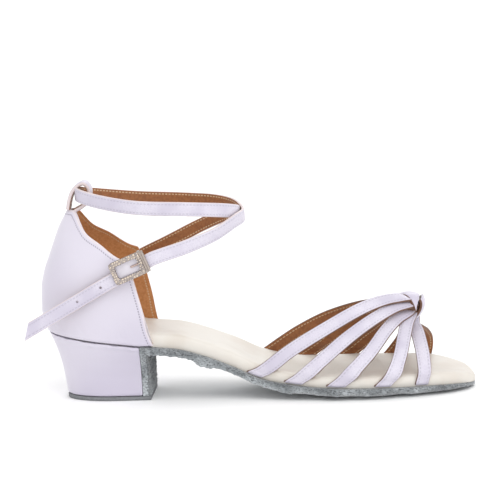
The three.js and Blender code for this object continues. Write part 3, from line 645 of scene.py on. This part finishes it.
def buildSole():
    suede = suedeMaterial("suede", suedeLook)
    stations = spread(breastX + clearance, float(placeX(1)), 260)
    sole = plate("sole", stations, outsoleRim, lambda x: 0.0, soleBottom, soleTop, soleLook["raggedEdge"])
    dress(joinPieces("suede_sole", [sole, flapPiece()]), suede, "suede", "outsole")
    napPiece(suede)
    back = heelBackX + insoleInset
    onHem = spread(hemEndX, back, 60)[::-1]
    ahead = spread(breastX + clearance, float(placeX(1)), 220)
    stations = np.concatenate([onHem, np.linspace(hemEndX, hemEndX + 6, 8)[1:], ahead[ahead > hemEndX + 6.3]])
    tipRoot = lambda x: np.sqrt(np.maximum(0, 1 - shareOf(x)))
    inset = lambda x: (insoleInset - 0.5) * smooth(tipRoot(x) / tipRoot(placeX(toeFlushAt)))
    cover = plate("wrapped_insole", stations, insoleRim, inset, coverBottom, coverTop)
    dress(cover, insoleMaterial("insole cover", insoleLook), "insole_cover", "insole")


buildSole()
print("sole built")


# Heel and counter

heelLook = {
    "foldDepth": 1.1, "foldLevel": 0.955, "foldHalf": 0.02,   # the cover's fold under the counter
    "footTuck": 0.9, "coverGap": 0.45, "coverSag": 0.25,
}
counterLook = {"pucker": 0.16, "stitchInset": 2.2, "stitchPitch": 1.5, "rim": colour(244, 232, 232)}


# Half-ellipse round the back, straight at the sides: turn from -1 inner front to 1 outer front
def cupPoint(turn, back, half, front):
    widest = float(placeX(widestSeatAt))
    x = back + (front - back) * (1 - np.cos(np.abs(turn) * math.pi / 2))
    reach = np.maximum(0, (widest - x) / (widest - back))
    return x, np.sign(turn) * half * np.sqrt(np.maximum(0, 1 - reach * reach))


def heelValue(level, column):
    return readTable(heelTable, "level", column, level)


# Heel block: a cup ring at each level, closed across the breast, its foot rounded a little
def heelPiece():
    levels = np.concatenate([[0, 0.012, 0.03], np.linspace(0.06, 0.95, 34), [0.98, 1.0]])[:, None]
    turns = np.concatenate([[-1], np.linspace(-0.995, 0.995, 119), [1]])[None]
    tuck = heelLook["footTuck"] * (1 - np.clip(levels / 0.03, 0, 1)) ** 2
    half = heelValue(levels, "half") * seatWidth / 2 - tuck
    x, y = cupPoint(turns, placeX(heelValue(levels, "back")) + tuck, half, breastX - tuck)
    # the cover's edge sags under the counter
    gap = clearance + heelLook["coverGap"] + heelLook["coverSag"] * ripple(x + 9 * np.sign(y), 33, 14)
    top = np.minimum(seatTop(x), counterFootZ(x)) - gap
    foot = tipThickness + clearance
    fold = np.exp(-((levels - heelLook["foldLevel"]) / heelLook["foldHalf"]) ** 2)
    fold = heelLook["foldDepth"] * fold * (1 + 0.4 * ripple(x, 31, 12))
    away = np.stack([np.where(turns == 0, -1, 0) + 0 * x, np.sign(y), 0 * x], -1)
    points = np.stack([x, y, foot + levels * (top - foot)], -1) + away * fold[..., None] * 0.5
    mapping = np.stack([x + 0 * levels, foot + levels * (top - foot)], -1)
    return gridMesh("satin_heel", points, mapping, {"side": np.ones(x.shape)}, sharp=50)


def heelTipPiece():
    turns = np.linspace(-1, 1, 121)[None]
    rows = np.array([[0, 0.35], [0.35, 0], [tipThickness - 0.3, 0], [tipThickness, 0.25]])
    inset = rows[:, 1:]
    back, half = float(placeX(heelValue(0, "back"))), heelValue(0, "half") * seatWidth / 2
    x, y = cupPoint(turns, back + inset, half - inset, flapX)
    z = np.broadcast_to(rows[:, :1], x.shape)
    points = np.stack([x, y, z], -1)
    return gridMesh("heel_cap", points, np.stack([x, z], -1), {"side": np.ones(x.shape)}, sharp=50)


def counterOutline(turn, z):
    level = (z - heelHeight) / counterHeight
    read = lambda column: readTable(counterTable, "level", column, level)
    return cupPoint(turn, placeX(read("back")), read("half") * seatWidth / 2, placeX(read("front")))


# Place on the counter, depth in from its outer face along the outline's normal
def counterPlace(turn, z, depth):
    step = 0.01
    x, y = counterOutline(turn, z)
    x0, y0 = counterOutline(np.maximum(-1, turn - step), z)
    x1, y1 = counterOutline(np.minimum(1, turn + step), z)
    run = np.hypot(x1 - x0, y1 - y0)
    return x + (y1 - y0) / run * depth, y - (x1 - x0) / run * depth


# Counter: each turn has one closed ring, up the outside, over the edge, down inside, along the hem
def counterPiece():
    turns = np.linspace(-1, 1, 181)[:, None]
    foot = counterFootZ(counterOutline(turns, heelHeight)[0])
    top = heelHeight + counterHeight * readTable(toplineTable, "turn", "level", np.abs(turns))
    up = np.concatenate([np.linspace(0, 0.94, 40), [0.96, 0.975, 0.99]])[None]
    outer = foot + 0.6 + up * (top - foot - 0.6)
    lift = np.array([[0.35, 0.1, 0.1, 0.35]])
    depths = np.array([[0.15, 0.65, 1.35, 1.85]])
    over = top + lift * np.array([[0, 1, 1, 0]])
    down = np.concatenate([[0.99, 0.975, 0.96], np.linspace(0.94, 0, 40)])[None]
    inner = foot + counterWall + down * (top - foot - counterWall)
    z = np.concatenate([foot + 0 * lift[:, :1], outer, over, inner, foot + counterWall, foot], 1)
    ones = np.ones((1, 1))
    hem = counterHem * ones
    depth = np.concatenate([0.6 * ones, 0 * up, depths, counterWall + 0 * down, hem, hem], 1)
    depth = np.broadcast_to(depth, z.shape)
    pucker = counterLook["pucker"] * ripple(turns * 60 + 0 * z, 41, 8)
    pucker = pucker * smooth((z - foot) / 6) * (1 - smooth((z - foot - 4) / 8))
    x, y = counterPlace(turns + 0 * z, z, depth - pucker * (depth == 0))
    last = z.shape[1]
    z = z.copy()
    for column, high in ((0, 0.0), (last - 2, counterWall), (last - 1, 0.0)):
        z[:, column] = counterFootZ(x[:, column]) + high
    side = np.concatenate([ones, 1 + 0 * up, [[1, 1, 0.9, 0.6]], -1 + 0 * down, -ones, -ones], 1)
    fromEdge = np.abs(top - z)
    slope = np.gradient(top[:, 0]) / np.maximum(1e-6, np.hypot(np.gradient(x[:, 20]), np.gradient(y[:, 20])))
    fromEdge = fromEdge / np.sqrt(1 + slope[:, None] ** 2)
    frontGap = np.abs(placeX(readTable(counterTable, "level", "front", (z - heelHeight) / counterHeight)) - x)
    fromEdge = np.minimum(fromEdge, np.where(np.abs(turns) > 0.5, frontGap, 99))
    run = np.cumsum(np.hypot(np.gradient(x[:, 20]), np.gradient(y[:, 20])))[:, None]
    along = np.where(fromEdge == frontGap, z, run)
    mapping = np.stack([fromEdge, along + 0 * z], -1)
    values = {"side": np.broadcast_to(side, z.shape)}
    return gridMesh("satin_counter", np.stack([x, y, z], -1), mapping, values, sharp=60)


# Satin with one stitch row a few millimetres in from the edge, and a paler folded rim
def counterMaterial(name, look):
    graph = Graph(name, Sheen_Weight=0.25, Sheen_Roughness=0.4, Specular_IOR_Level=0.45)
    fromEdge, along = graph.map()
    side = graph.stored("side")
    satin = side.ramp(-0.1, 0.3)
    line = fromEdge - counterLook["stitchInset"]
    thread = stitchRow(line, along, counterLook["stitchPitch"], 0.45)
    soft, pad, broad = graph.noise(38, 2), graph.noise(700, 3), graph.noise(14, 1)
    cloth = graph.mix(broad.ramp(0.35, 0.65), look["face"], look["shade"])
    rim = (1 - fromEdge.ramp(0.5, 0.9)) * satin
    cloth = graph.mix(thread * 0.9, cloth, look["thread"])
    cloth = graph.mix(rim * 0.6, cloth, counterLook["rim"])
    # the counter's lining colour is lighter than the straps': painted light
    hide = graph.mix(pad.ramp(0.35, 0.7), look["cupLining"], look["cupLiningDark"])
    hide = graph.mix(thread, hide, look["liningThread"])
    graph.set(Base_Color=graph.mix(satin, hide, cloth), Roughness=0.62 - satin * (0.62 - look["roughness"]))
    groove = 1 - abs(line).ramp(0.1, 0.9)
    graph.bump(soft * 0.9 - groove * 0.16 + thread * 0.2 + pad * 0.05 - rim * 0.15, 0.0008, 0.7)
    return graph.material


def satinMaterial(name, look):
    graph = Graph(name, Sheen_Weight=0.25, Sheen_Roughness=0.4, Specular_IOR_Level=0.45)
    broad, soft, grain = graph.noise(14, 1), graph.noise(45, 2), graph.noise(900, 3)
    cloth = graph.mix(broad.ramp(0.35, 0.65), look["face"], look["shade"])
    graph.set(Base_Color=cloth, Roughness=look["roughness"] + grain * 0.08)
    graph.bump(soft * 0.6 + grain * 0.05, 0.0006, 0.5)
    return graph.material


def buildHeel():
    satin = satinMaterial("heel satin", satinLook)
    dress(heelPiece(), satin, "satin", "heel")
    rubber = plainMaterial("tip", colour(134, 136, 139), 0.75, 0, 900, 0.0003)
    dress(heelTipPiece(), rubber, "tip_rubber", "heel_tip")
    dress(counterPiece(), counterMaterial("counter satin", satinLook), "satin", "counter")


buildHeel()
print("heel and counter built")


# Vamp: five straps a side, each one band over the knot, and the knot

vampLook = {
    "width": 7.6, "thickness": 1.5, "tuck": 8.0, "height": 38.0, "crown": 0.12,
    "stitchInset": 1.4, "stitchPitch": 1.9, "faceTurn": 0.9,
}
# at five places of a strap: how far out, and for the outer half how much lower and further on
vampLean = {
    "out": [.967, .837, .585, .370, .200], "low": [.0, .02, .10, .13, .11], "on": [.004, .008, .006, .002, 0],
}
vampStraps = [
    {"base": .501, "at": [.583, .668, .755, .812, .851], "rise": [.368, .668, .924, 1.002, .985]},
    {"base": .589, "at": [.651, .714, .782, .827, .859], "rise": [.216, .529, .785, .895, .905]},
    {"base": .686, "at": [.725, .765, .801, .828, .852], "rise": [.087, .334, .594, .735, .800]},
    {"base": .791, "at": [.816, .832, .842, .849, .857], "rise": [.032, .271, .515, .670, .750]},
    {"base": .878, "at": [.885, .883, .876, .870, .863], "rise": [.018, .234, .432, .537, .598]},
]
knotX = float(placeX(0.862))
knotZ = float(insoleTop(knotX, 0.0)) + vampLook["height"] * 0.88
knotSize = {
    "width": 10.5, "height": 13.4, "depth": 13.0, "from": -125, "to": 50,   # degrees round the band
    "pinch": 0.10, "lean": 0.26, "thicker": 1.35, "crown": 0.4,
}
noStitch = (-9.0, 900.0)   # inset and pitch of a stitch row that lies off the cloth
coreSize = {"back": 1.8, "low": 0.5, "halfLength": 6.5, "halfHeight": 6.3, "halfWidth": 7.4}


# Half of a strap's middle line: tucked under the insole, up its side and in to the knot
def strapHalf(strap, side):
    thickness, tuck = vampLook["thickness"], vampLook["tuck"]
    base = float(placeX(strap["base"]))
    way = -1 if side == "inner" else 1
    half = float(soleHalf(base, side))
    ball = float(placeX(0.8))
    rise = float(insoleTop(ball, middleY(ball) + halfWidth(ball)))
    low = [1.0] * 5 if side == "inner" else [1 - v for v in vampLean["low"]]
    on = [0.0] * 5 if side == "inner" else vampLean["on"]
    rows = [(float(placeX(at + ahead)), way * out * half, rise + up * vampLook["height"] * share)
            for at, out, up, share, ahead in zip(strap["at"], vampLean["out"], strap["rise"], low, on)]
    floor = lambda x, y: float(soleTop(x, way * y)) + 1.6 * clearance + thickness / 2
    lean = min(1.2, (rows[0][0] - base) / (rows[0][2] - floor(base, half)))

    def place(along, out, high):
        x = base + along * lean
        y = float(soleHalf(x, side)) - insoleInset + out
        return (x, way * y, floor(x, min(y, half)) + high)

    bend, aside = thickness * 1.8, 1.5 * clearance + thickness / 2
    foot = [place(-tuck * 0.1, -tuck, 0.4), place(-bend * 0.3, -bend, 0.1),
            place(0, aside - thickness * 0.3, thickness * 0.3), place(bend, aside, bend)]
    if strap["rise"][0] > 0.05:
        foot.append(place(insoleThickness * 0.9, aside + clearance, insoleThickness * 0.9))
    return foot + rows


def strapPiece(name, strap):
    inner, outer = strapHalf(strap, "inner"), strapHalf(strap, "outer")[::-1]
    middle = (np.array(inner[-1]) + np.array(outer[0])) / 2
    middle = (middle + np.array([knotX, 0, knotZ])) / 2
    path, run = smoothPath(inner + [middle] + outer, 0.9)
    base = float(placeX(strap["base"]))
    side = np.sign(path[:, 1] + 1e-9)
    half = np.where(side < 0, soleHalf(base, "inner"), soleHalf(base, "outer"))
    width = vampLook["width"]
    edges = []
    for x in (base - width / 2, base + width / 2):
        y = side * np.where(side < 0, soleHalf(x, "inner"), soleHalf(x, "outer"))
        edges.append(np.stack([np.full(len(y), x), y, soleTop(x, y * 0.85)], -1))
    along = (edges[1] - edges[0]) / width
    height = path[:, 2] - soleTop(base, side * half * 0.85)
    onSole = (1 - smooth(height / insoleThickness - 1))[:, None]
    tangent = unit(np.gradient(path, axis=0))
    outward = unit(np.cross(np.array([1.0, 0, 0]) * (1 - onSole) + along * onSole, tangent))
    # near the knot the faces turn to the sides
    turned = np.exp(-(path[:, 1] / 14) ** 2) * np.tanh(path[:, 1] / 3)
    outward = outward + np.array([0, vampLook["faceTurn"], 0]) * turned[:, None]
    # against the insole the strap is cut along the sole's line, not square to its own
    face = unit(outward - tangent * np.einsum("ij,ij->i", outward, tangent)[:, None])
    wide = np.cross(tangent, face)
    line = along / np.linalg.norm(along, axis=1, keepdims=True)
    line = line * np.sign(np.einsum("ij,ij->i", line, wide))[:, None]
    reach = np.abs(np.einsum("ij,ij->i", line, wide))
    for way in (-1, 1):
        standing = (side == way) & (height > 4) & (height < 9)
        reach[side == way] = max(0.65, reach[standing].mean())
    wide = wide * (1 - onSole) + line / reach[:, None] * onSole
    return ribbon(name, path, run, outward, width, vampLook["thickness"], crown=vampLook["crown"], wide=wide)


# Knot: an open band round the gathered straps, from under them up their front, leaning toward the toes
def knotBand():
    turn = np.radians(np.linspace(knotSize["from"], knotSize["to"], 40))
    deep = knotSize["depth"] / 2
    profile = ribbonProfile(2 * deep, vampLook["thickness"], knotSize["crown"], 4, 13)
    pinch = 1 - knotSize["pinch"] * (profile[:, 0] / deep) ** 2
    high = profile[None, :, 1] * knotSize["thicker"]
    x = knotX + np.cos(turn)[:, None] * (knotSize["width"] / 2 * pinch[None] + high)
    z = knotZ + np.sin(turn)[:, None] * (knotSize["height"] / 2 * pinch[None] + high)
    x = x + knotSize["lean"] * (z - knotZ)
    y = np.broadcast_to(profile[None, :, 0], x.shape)
    mapping = np.stack([y, np.broadcast_to((turn * 6)[:, None], y.shape)], -1)
    side = np.broadcast_to((profile[:, 1] / (vampLook["thickness"] / 2))[None], x.shape)
    return gridMesh("knot_band", np.stack([x, y, z], -1), mapping, {"side": side}, sharp=60)


# Fold of the knot: a sheet over the top whose two ends narrow to a point among the straps,
# given by its rear and front edge on the near side, a little domed between them
foldRear = [(170.1, -9.2, 44.6), (169.3, -8.5, 47.0), (167.6, -6.9, 50.1),
            (165.4, -4.5, 51.9), (163.0, -2.0, 52.4), (161.8, 0, 52.5)]
foldFront = [(170.5, -9.2, 44.6), (171.0, -8.4, 46.7), (171.9, -6.6, 48.6),
             (172.6, -4.5, 50.2), (172.9, -2.2, 51.2), (172.9, 0, 51.6)]
foldLook = {
    "lift": 0.2, "endLift": 1.5, "dome": 0.46, "thickness": 1.1, "rawEdge": 0.9, "half": 5.7,
    "drawnAt": 45.4,   # the knot's height that the two edges were drawn at
}


def knotFold():
    look, edges = foldLook, []
    for line in (foldRear, foldFront):
        near = np.array(line) + np.array([0, 0, knotZ - look["drawnAt"]])
        far = near[-2::-1] * np.array([1, -1, 1])
        curve = smoothPath(np.vstack([near, far]), 0.1)[0]
        edges.append(curve[np.linspace(0, len(curve) - 1, 81).astype(int)])
    rear, front = edges
    share = np.linspace(0, 1, 15)
    span = np.linalg.norm(front - rear, axis=1)[:, None]
    outward = unit((rear + front) / 2 - np.array([167.0, 0, knotZ - 2]))[:, None]
    face = rear[:, None] + (front - rear)[:, None] * share[None, :, None]
    raised = look["lift"] + look["endLift"] * np.abs(np.linspace(-1, 1, 81))[:, None]   # it lies on the straps
    face = face + outward * (raised + look["dome"] * span * share * (1 - share))[..., None]
    under = face - outward * look["thickness"]
    under[:, 0] -= unit(front - rear) * np.minimum(look["rawEdge"], span * 0.4)   # the raw edge shows
    points = np.concatenate([face, under[:, ::-1]], 1)
    u = np.minimum(span * share[None] - look["half"], 0)
    mapping = np.stack([np.concatenate([u, u[:, ::-1]], 1), np.arange(81)[:, None] * 0.3 + np.zeros(30)], -1)
    return gridMesh("knot_fold", points, mapping, {"side": np.repeat([1.0, -1.0], 15)[None]}, sharp=60)


# Straps gathered inside the knot, a lump that fills the band: a ball stretched along each axis
def knotCore():
    level = np.linspace(-1, 1, 22)[:, None] * math.pi / 2
    turn = np.linspace(0, 2 * math.pi, 33)[None, :-1]
    lump = 1 + 0.06 * np.sin(5 * turn + 2 * level)
    size = coreSize
    x = knotX - size["back"] + size["halfLength"] * np.cos(level) * np.cos(turn) * lump
    z = knotZ - size["low"] + size["halfHeight"] * np.cos(level) * np.sin(turn) * lump
    y = size["halfWidth"] * np.sin(level) + 0 * turn
    values = {"side": np.full(x.shape, -0.5)}
    return gridMesh("knot_core", np.stack([x, y, z], -1), np.stack([x, y], -1), values, sharp=60)


def buildVamp():
    satin = strapMaterial("strap satin", satinLook, vampLook["width"] / 2, vampLook["stitchInset"],
                          vampLook["stitchPitch"], 0.0)
    for i, strap in enumerate(vampStraps):
        dress(strapPiece("vamp_strap_%d" % (i + 1), strap), satin, "satin", "vamp")
    bandSatin = strapMaterial("knot satin", satinLook, knotSize["depth"] / 2 + 0.4, *noStitch, 0.45)
    dress(knotBand(), bandSatin, "satin", "vamp")
    dress(knotCore(), bandSatin, "satin", "vamp")
    foldSatin = strapMaterial("fold satin", satinLook, foldLook["half"], *noStitch, 0.3)
    dress(knotFold(), foldSatin, "satin", "vamp")


buildVamp()
print("vamp built")


# Ankle strap, keeper and buckle

ankleLook = {
    "width": 7.7, "thickness": 1.8, "crown": 0.12, "endSlant": -0.95,
    "stitchInset": 1.35, "stitchPitch": 1.9, "holeSize": 1.5,
}
keeperLook = {"width": 10.5, "thickness": 2.1, "crown": 0.2, "stitchInset": 1.2}
anklePath = np.array([
    (.1850, 1.155, -.642), (.2210, 1.152, -.562), (.2920, 1.065, -.450), (.3750, .905, -.317),
    (.4375, .530, -.223), (.4710, 0, -.180), (.4430, -.495, -.139), (.3604, -.895, -.102),
    (.2458, -.930, -.077), (.1625, -.690, -.038),
    (.1120, -.340, -.006), (.1005, 0, 0), (.1220, .450, -.030), (.2260, .890, -.088), (.3420, .935, -.114),
    (.4210, .685, -.128), (.4670, .250, -.155), (.4817, -.040, -.198),
    (.4650, -.400, -.226), (.4240, -.745, -.298),
    (.3570, -1.000, -.376), (.2825, -1.201, -.444), (.2667, -1.209, -.470), (.2375, -1.224, -.518),
    (.1896, -1.249, -.596), (.0946, -1.225, -.769), (-.0120, -1.191, -.963)])
keeperPath = np.array([
    (.0805, .05), (.0850, .63), (.0925, 1.15), (.1060, 1.55), (.1195, 1.68), (.1290, 1.42), (.1310, .95),
    (.1230, .42), (.1090, .12), (.0950, -.10), (.0880, -.50)])
keeperRise, ankleAt = 8.6, 0.283
holesAt = [.245, .163, .108]
keeperZ = heelHeight + counterHeight + keeperRise
buckleLook = {"length": 20.6, "width": 12.8, "bar": 2.8, "base": 1.0, "plate": 1.4, "prong": 1.1,
              "at": 0.2337, "turn": -5.0, "shift": 1.9, "tabWidth": 6.0, "tabThickness": 1.8, "stone": 0.56,
              "plateEnd": 0.95, "barHeight": 1.9, "tabFill": (3.6, 1.9),   # the tab's extra width and height
              # the tab's colour is paler than the satin: painted light inside the buckle's shaded opening
              "metal": colour(190, 178, 170), "prongMetal": colour(214, 190, 182), "tab": colour(241, 236, 246),
              "stonePale": colour(238, 220, 200), "stoneDark": colour(150, 142, 146)}


def ankleLine():
    points = np.stack([placeX(anklePath[:, 0]), anklePath[:, 1] * seatWidth / 2,
                       keeperZ + anklePath[:, 2] * counterHeight], -1)
    return smoothPath(points, 1.0)


# Along, wide and face directions of the strap's lower run, and the place with this share
def strapFrame(at):
    back = ankleLine()[0][::-1]
    i = int(np.argmax(back[:, 0] >= placeX(at)))
    t = (float(placeX(at)) - back[i - 1, 0]) / (back[i, 0] - back[i - 1, 0])
    place = back[i - 1] * (1 - t) + back[i] * t
    along = unit(back[i] - back[i - 1])
    face = np.array([0.0, -1.0, 0.0]) + along * along[1]
    face = unit(face)
    return place, along, np.cross(face, along), face


def cutHoles(piece):
    for at in holesAt:
        place, along, wide, face = strapFrame(at)
        bpy.ops.mesh.primitive_cylinder_add(vertices=24, radius=ankleLook["holeSize"] / 2 * mm, depth=8 * mm)
        drill = bpy.context.object
        rows = [[along[k], wide[k], face[k], place[k] * mm] for k in range(3)]
        drill.matrix_world = Matrix(rows + [[0, 0, 0, 1]])
        cut = piece.modifiers.new("hole", "BOOLEAN")
        cut.object, cut.operation, cut.solver = drill, "DIFFERENCE", "EXACT"
        bpy.context.view_layer.update()
        whole = bpy.data.meshes.new_from_object(piece.evaluated_get(bpy.context.evaluated_depsgraph_get()))
        piece.modifiers.clear()
        piece.data = whole
        bpy.data.objects.remove(drill)


def ankleStrapPiece():
    path, run = ankleLine()
    drop = (path[:, 2] - keeperZ) / counterHeight
    away = path - np.stack([np.full(len(path), float(placeX(ankleAt))), 0 * drop, path[:, 2]], -1)
    away[:, 0] *= smooth((drop + 0.42) / 0.12)
    piece = ribbon("ankle_strap_satin", path, run, away, ankleLook["width"], ankleLook["thickness"],
                   slant=ankleLook["endSlant"], crown=ankleLook["crown"])
    cutHoles(piece)
    return piece


def keeperPiece():
    points = np.stack([placeX(keeperPath[:, 0]), 0 * keeperPath[:, 0],
                       heelHeight + counterHeight + keeperPath[:, 1] * keeperRise], -1)
    path, run = smoothPath(points, 0.6)
    outward = np.cross(unit(np.gradient(path, axis=0)), np.array([0, 1.0, 0]))
    look = keeperLook
    return ribbon("keeper_loop", path, run, outward, look["width"], look["thickness"], crown=look["crown"])


# Rounded rectangle of given half sizes, as points round it, by a super-ellipse
def roundedLoop(count, left, right, half, power=9.0):
    turn = np.linspace(0, 2 * math.pi, count, endpoint=False)
    c, s = np.cos(turn), np.sin(turn)
    x = np.sign(c) * np.abs(c) ** (2 / power)
    y = np.sign(s) * np.abs(s) ** (2 / power)
    return np.stack([(left + right) / 2 + x * (right - left) / 2, y * half], -1)


def buckleBasis():
    place, along, wide, face = strapFrame(buckleLook["at"])
    place = place + wide * buckleLook["shift"]
    turn = math.radians(buckleLook["turn"])
    alongTurned = along * math.cos(turn) + wide * math.sin(turn)
    wideTurned = wide * math.cos(turn) - along * math.sin(turn)
    return place, np.stack([alongTurned, wideTurned, face])


# Ring between two loops with a rounded section: loop + share * (other loop - loop), z from a half circle
def ringPiece(name, outer, inner, low, high, basis):
    turn = np.linspace(0, 2 * math.pi, 17)[:-1]
    share = 0.5 - 0.5 * np.sign(np.cos(turn)) * np.abs(np.cos(turn)) ** 0.55
    z = (low + high) / 2 + (high - low) / 2 * np.sign(np.sin(turn)) * np.abs(np.sin(turn)) ** 0.7
    flat = outer[:, None] * (1 - share[None, :, None]) + inner[:, None] * share[None, :, None]
    local = np.concatenate([flat, np.broadcast_to(z[None, :, None], flat.shape[:2] + (1,))], -1)
    place, axes = basis
    return gridMesh(name, place + local @ axes, loopRings=True, sharp=50)


# Stones: eight-sided cut domes on a line, all in one mesh
def stonesPiece(name, spots, size, basis):
    turn = np.linspace(0, 2 * math.pi, 9)[:-1]
    rings = [(1.0, 0.0), (0.92, 0.35), (0.5, 0.72)]
    ring = np.stack([np.stack([size * r * np.cos(turn + 0.39 * k), size * r * np.sin(turn + 0.39 * k),
                               np.full(8, size * h)], -1) for k, (r, h) in enumerate(rings)])
    one = ring.reshape(-1, 3)
    faces = []
    for k in range(2):
        for j in range(8):
            a, b = k * 8 + j, k * 8 + (j + 1) % 8
            faces += [[a, b, b + 8], [a, b + 8, a + 8]]
    faces += [list(range(16, 24)), list(range(7, -1, -1))]
    local = (spots[:, None] + one[None]).reshape(-1, 3)
    place, axes = basis
    verts = (place + local @ axes) * mm
    every = [[v + 24 * i for v in face] for i in range(len(spots)) for face in faces]
    mesh = bpy.data.meshes.new(name)
    mesh.from_pydata(verts.tolist(), [], every)
    return meshObject(name, mesh, 5)


def barPiece(name, size, spot, basis):
    bpy.ops.mesh.primitive_cube_add(size=1)
    piece = bpy.context.object
    piece.name = piece.data.name = name
    place, axes = basis
    local = np.array([v.co[:] for v in piece.data.vertices]) * np.array(size) + np.array(spot)
    piece.data.vertices.foreach_set("co", ((place + local @ axes) * mm).astype(np.float32).ravel())
    bevel = piece.modifiers.new("round", "BEVEL")
    bevel.width, bevel.segments = min(size) * 0.3 * mm, 3
    return piece


def buildBuckle():
    look, basis = buckleLook, buckleBasis()
    half, bar = look["length"] / 2, look["bar"]
    face = ankleLook["thickness"] / 2 + clearance
    openEnd = half - bar * 1.5
    metal = plainMaterial("buckle metal", look["metal"], 0.22, 1.0, 800, 0.00005)
    outer = roundedLoop(96, -half, half, look["width"] / 2)
    inner = roundedLoop(96, -half + bar, openEnd, look["width"] / 2 - bar)
    base = ringPiece("buckle_base", outer, inner, face, face + look["base"], basis)
    top = face + look["base"] + look["plate"]
    plateEnd = half - bar * look["plateEnd"]
    outerPlate = roundedLoop(96, -half, plateEnd, look["width"] / 2)
    platePiece = ringPiece("buckle_plate", outerPlate, inner, face + look["base"] * 0.9, top - 0.25, basis)
    # a groove is left between the plate and the end bar
    endBar = barPiece("buckle_bar", (bar * 0.5, look["width"] * 0.94, look["barHeight"]),
                      (half - bar * 0.28, 0, face + 1.2), basis)
    low = -face - look["tabThickness"]
    reach = look["width"] - bar / 3
    hinge = barPiece("buckle_hinge", (bar / 2, reach, 1.1), (half - bar, 0, low + 0.55), basis)
    posts = [barPiece("buckle_post", (bar / 2, bar / 3, face + 0.5 - low),
                      (half - bar, s * reach / 2, (low + face + 0.5) / 2), basis) for s in (-1, 1)]
    for part in [base, platePiece, endBar, hinge, *posts]:
        dress(part, metal, "buckle_metal", "buckle_frame")
    size = look["stone"]
    loops = []
    for inset, number in ((bar * 0.25, 38), (bar * 0.76, 28)):
        loop = roundedLoop(400, -half + inset, plateEnd - inset * 0.9, look["width"] / 2 - inset, 7)
        closed = np.vstack([loop, loop[:1]])
        run = np.concatenate([[0], np.cumsum(np.linalg.norm(np.diff(closed, axis=0), axis=1))])
        even = np.linspace(0, run[-1], number, endpoint=False)
        loops.append(np.stack([np.interp(even, run, closed[:, k]) for k in range(2)], -1))
    spots = np.vstack(loops)
    spots = np.concatenate([spots, np.full((len(spots), 1), top - 0.35)], -1)
    gem = Graph("stones", Metallic=0.55, Roughness=0.08, Specular_IOR_Level=0.9,
                Coat_Weight=1.0, Coat_Roughness=0.03)
    tone = gem.noise(900, 1)
    gem.set(Base_Color=gem.mix(tone.ramp(0.42, 0.58), look["stonePale"], look["stoneDark"]))
    dress(stonesPiece("buckle_stones", spots, size, basis), gem.material, "buckle_metal", "buckle_frame")
    prong = barPiece("prong", (openEnd - 0.3 - look["length"] * 0.03, look["prong"], look["prong"]),
                     ((openEnd - 0.3 + look["length"] * 0.03) / 2, 0, face + look["prong"] / 2), basis)
    pink = plainMaterial("prong metal", look["prongMetal"], 0.25, 1.0, 800, 0.00005)
    dress(prong, pink, "buckle_metal", "buckle_prong")
    barX = half - bar
    start, end = barX - look["length"] * 0.75, barX - bar / 4 - clearance
    # the tab fills the frame's opening, level with the strap. Its satin is paler than the straps' satin:
    # painted light in the frame's shaded opening.
    wider, thicker = look["tabFill"]
    tab = barPiece("tab", (end - start, look["tabWidth"] + wider, look["tabThickness"] + thicker),
                   ((start + end) / 2, 0.6, -0.75), basis)
    dress(tab, plainMaterial("tab satin with painted light", look["tab"], 0.4, 0, 60, 0.0004), "satin", "buckle_tab")


def buildAnkle():
    satin = strapMaterial("ankle satin", satinLook, ankleLook["width"] / 2, ankleLook["stitchInset"],
                          ankleLook["stitchPitch"], -0.3, "paleEdge", 0.35)
    dress(ankleStrapPiece(), satin, "satin", "ankle_strap")
    keeper = strapMaterial("keeper satin", satinLook, keeperLook["width"] / 2, keeperLook["stitchInset"],
                           ankleLook["stitchPitch"], -0.6, "paleEdge", 0.2)
    dress(keeperPiece(), keeper, "satin", "strap_keeper")


buildAnkle()
buildBuckle()
print("ankle strap and buckle built")


# Floor and light

lightLook = {
    "horizon": 1.12, "zenith": 0.85, "floor": (0.98, 0.98, 0.98, 1.0),
    "back": {"energy": 0.5, "turn": (-52.0, 12.0, 0.0), "angle": 30.0},   # low behind the shoe
    "key": {"energy": 0.8, "turn": (30.0, 18.0, 0.0), "angle": 40.0},   # above and a little toward the camera
    "fill": {"energy": 0.5, "turn": (72.0, 0.0, 30.0), "angle": 60.0},
}


def buildStage(look):
    scene = bpy.context.scene
    scene.view_settings.view_transform = "Standard"
    bpy.ops.mesh.primitive_plane_add(size=24, location=(0, 4, 0))
    floor = bpy.context.object
    floor.name = "floor"
    graph = Graph("floor", Roughness=0.9, Specular_IOR_Level=0.1)
    graph.set(Base_Color=look["floor"])
    floor.data.materials.append(graph.material)
    world = bpy.data.worlds.new("studio")
    world.use_nodes = True
    tree = world.node_tree
    sky = tree.nodes.new("ShaderNodeTexCoord")
    split = tree.nodes.new("ShaderNodeSeparateXYZ")
    height = tree.nodes.new("ShaderNodeMapRange")
    tree.links.new(sky.outputs["Generated"], split.inputs[0])
    tree.links.new(split.outputs[2], height.inputs["Value"])
    ends = {"From Min": 0.0, "From Max": 0.8, "To Min": look["horizon"], "To Max": look["zenith"]}
    for key, value in ends.items():
        height.inputs[key].default_value = value
    tree.links.new(height.outputs[0], tree.nodes["Background"].inputs["Strength"])
    tree.nodes["Background"].inputs["Color"].default_value = (1, 1, 1, 1)
    scene.world = world
    for name in ("key", "fill", "back"):
        lamp = bpy.data.lights.new(name, "SUN")
        lamp.energy = look[name]["energy"]
        lamp.angle = math.radians(look[name]["angle"])
        sun = bpy.data.objects.new(name, lamp)
        sun.rotation_euler = [math.radians(v) for v in look[name]["turn"]]
        scene.collection.objects.link(sun)


buildStage(lightLook)
print("stage built")
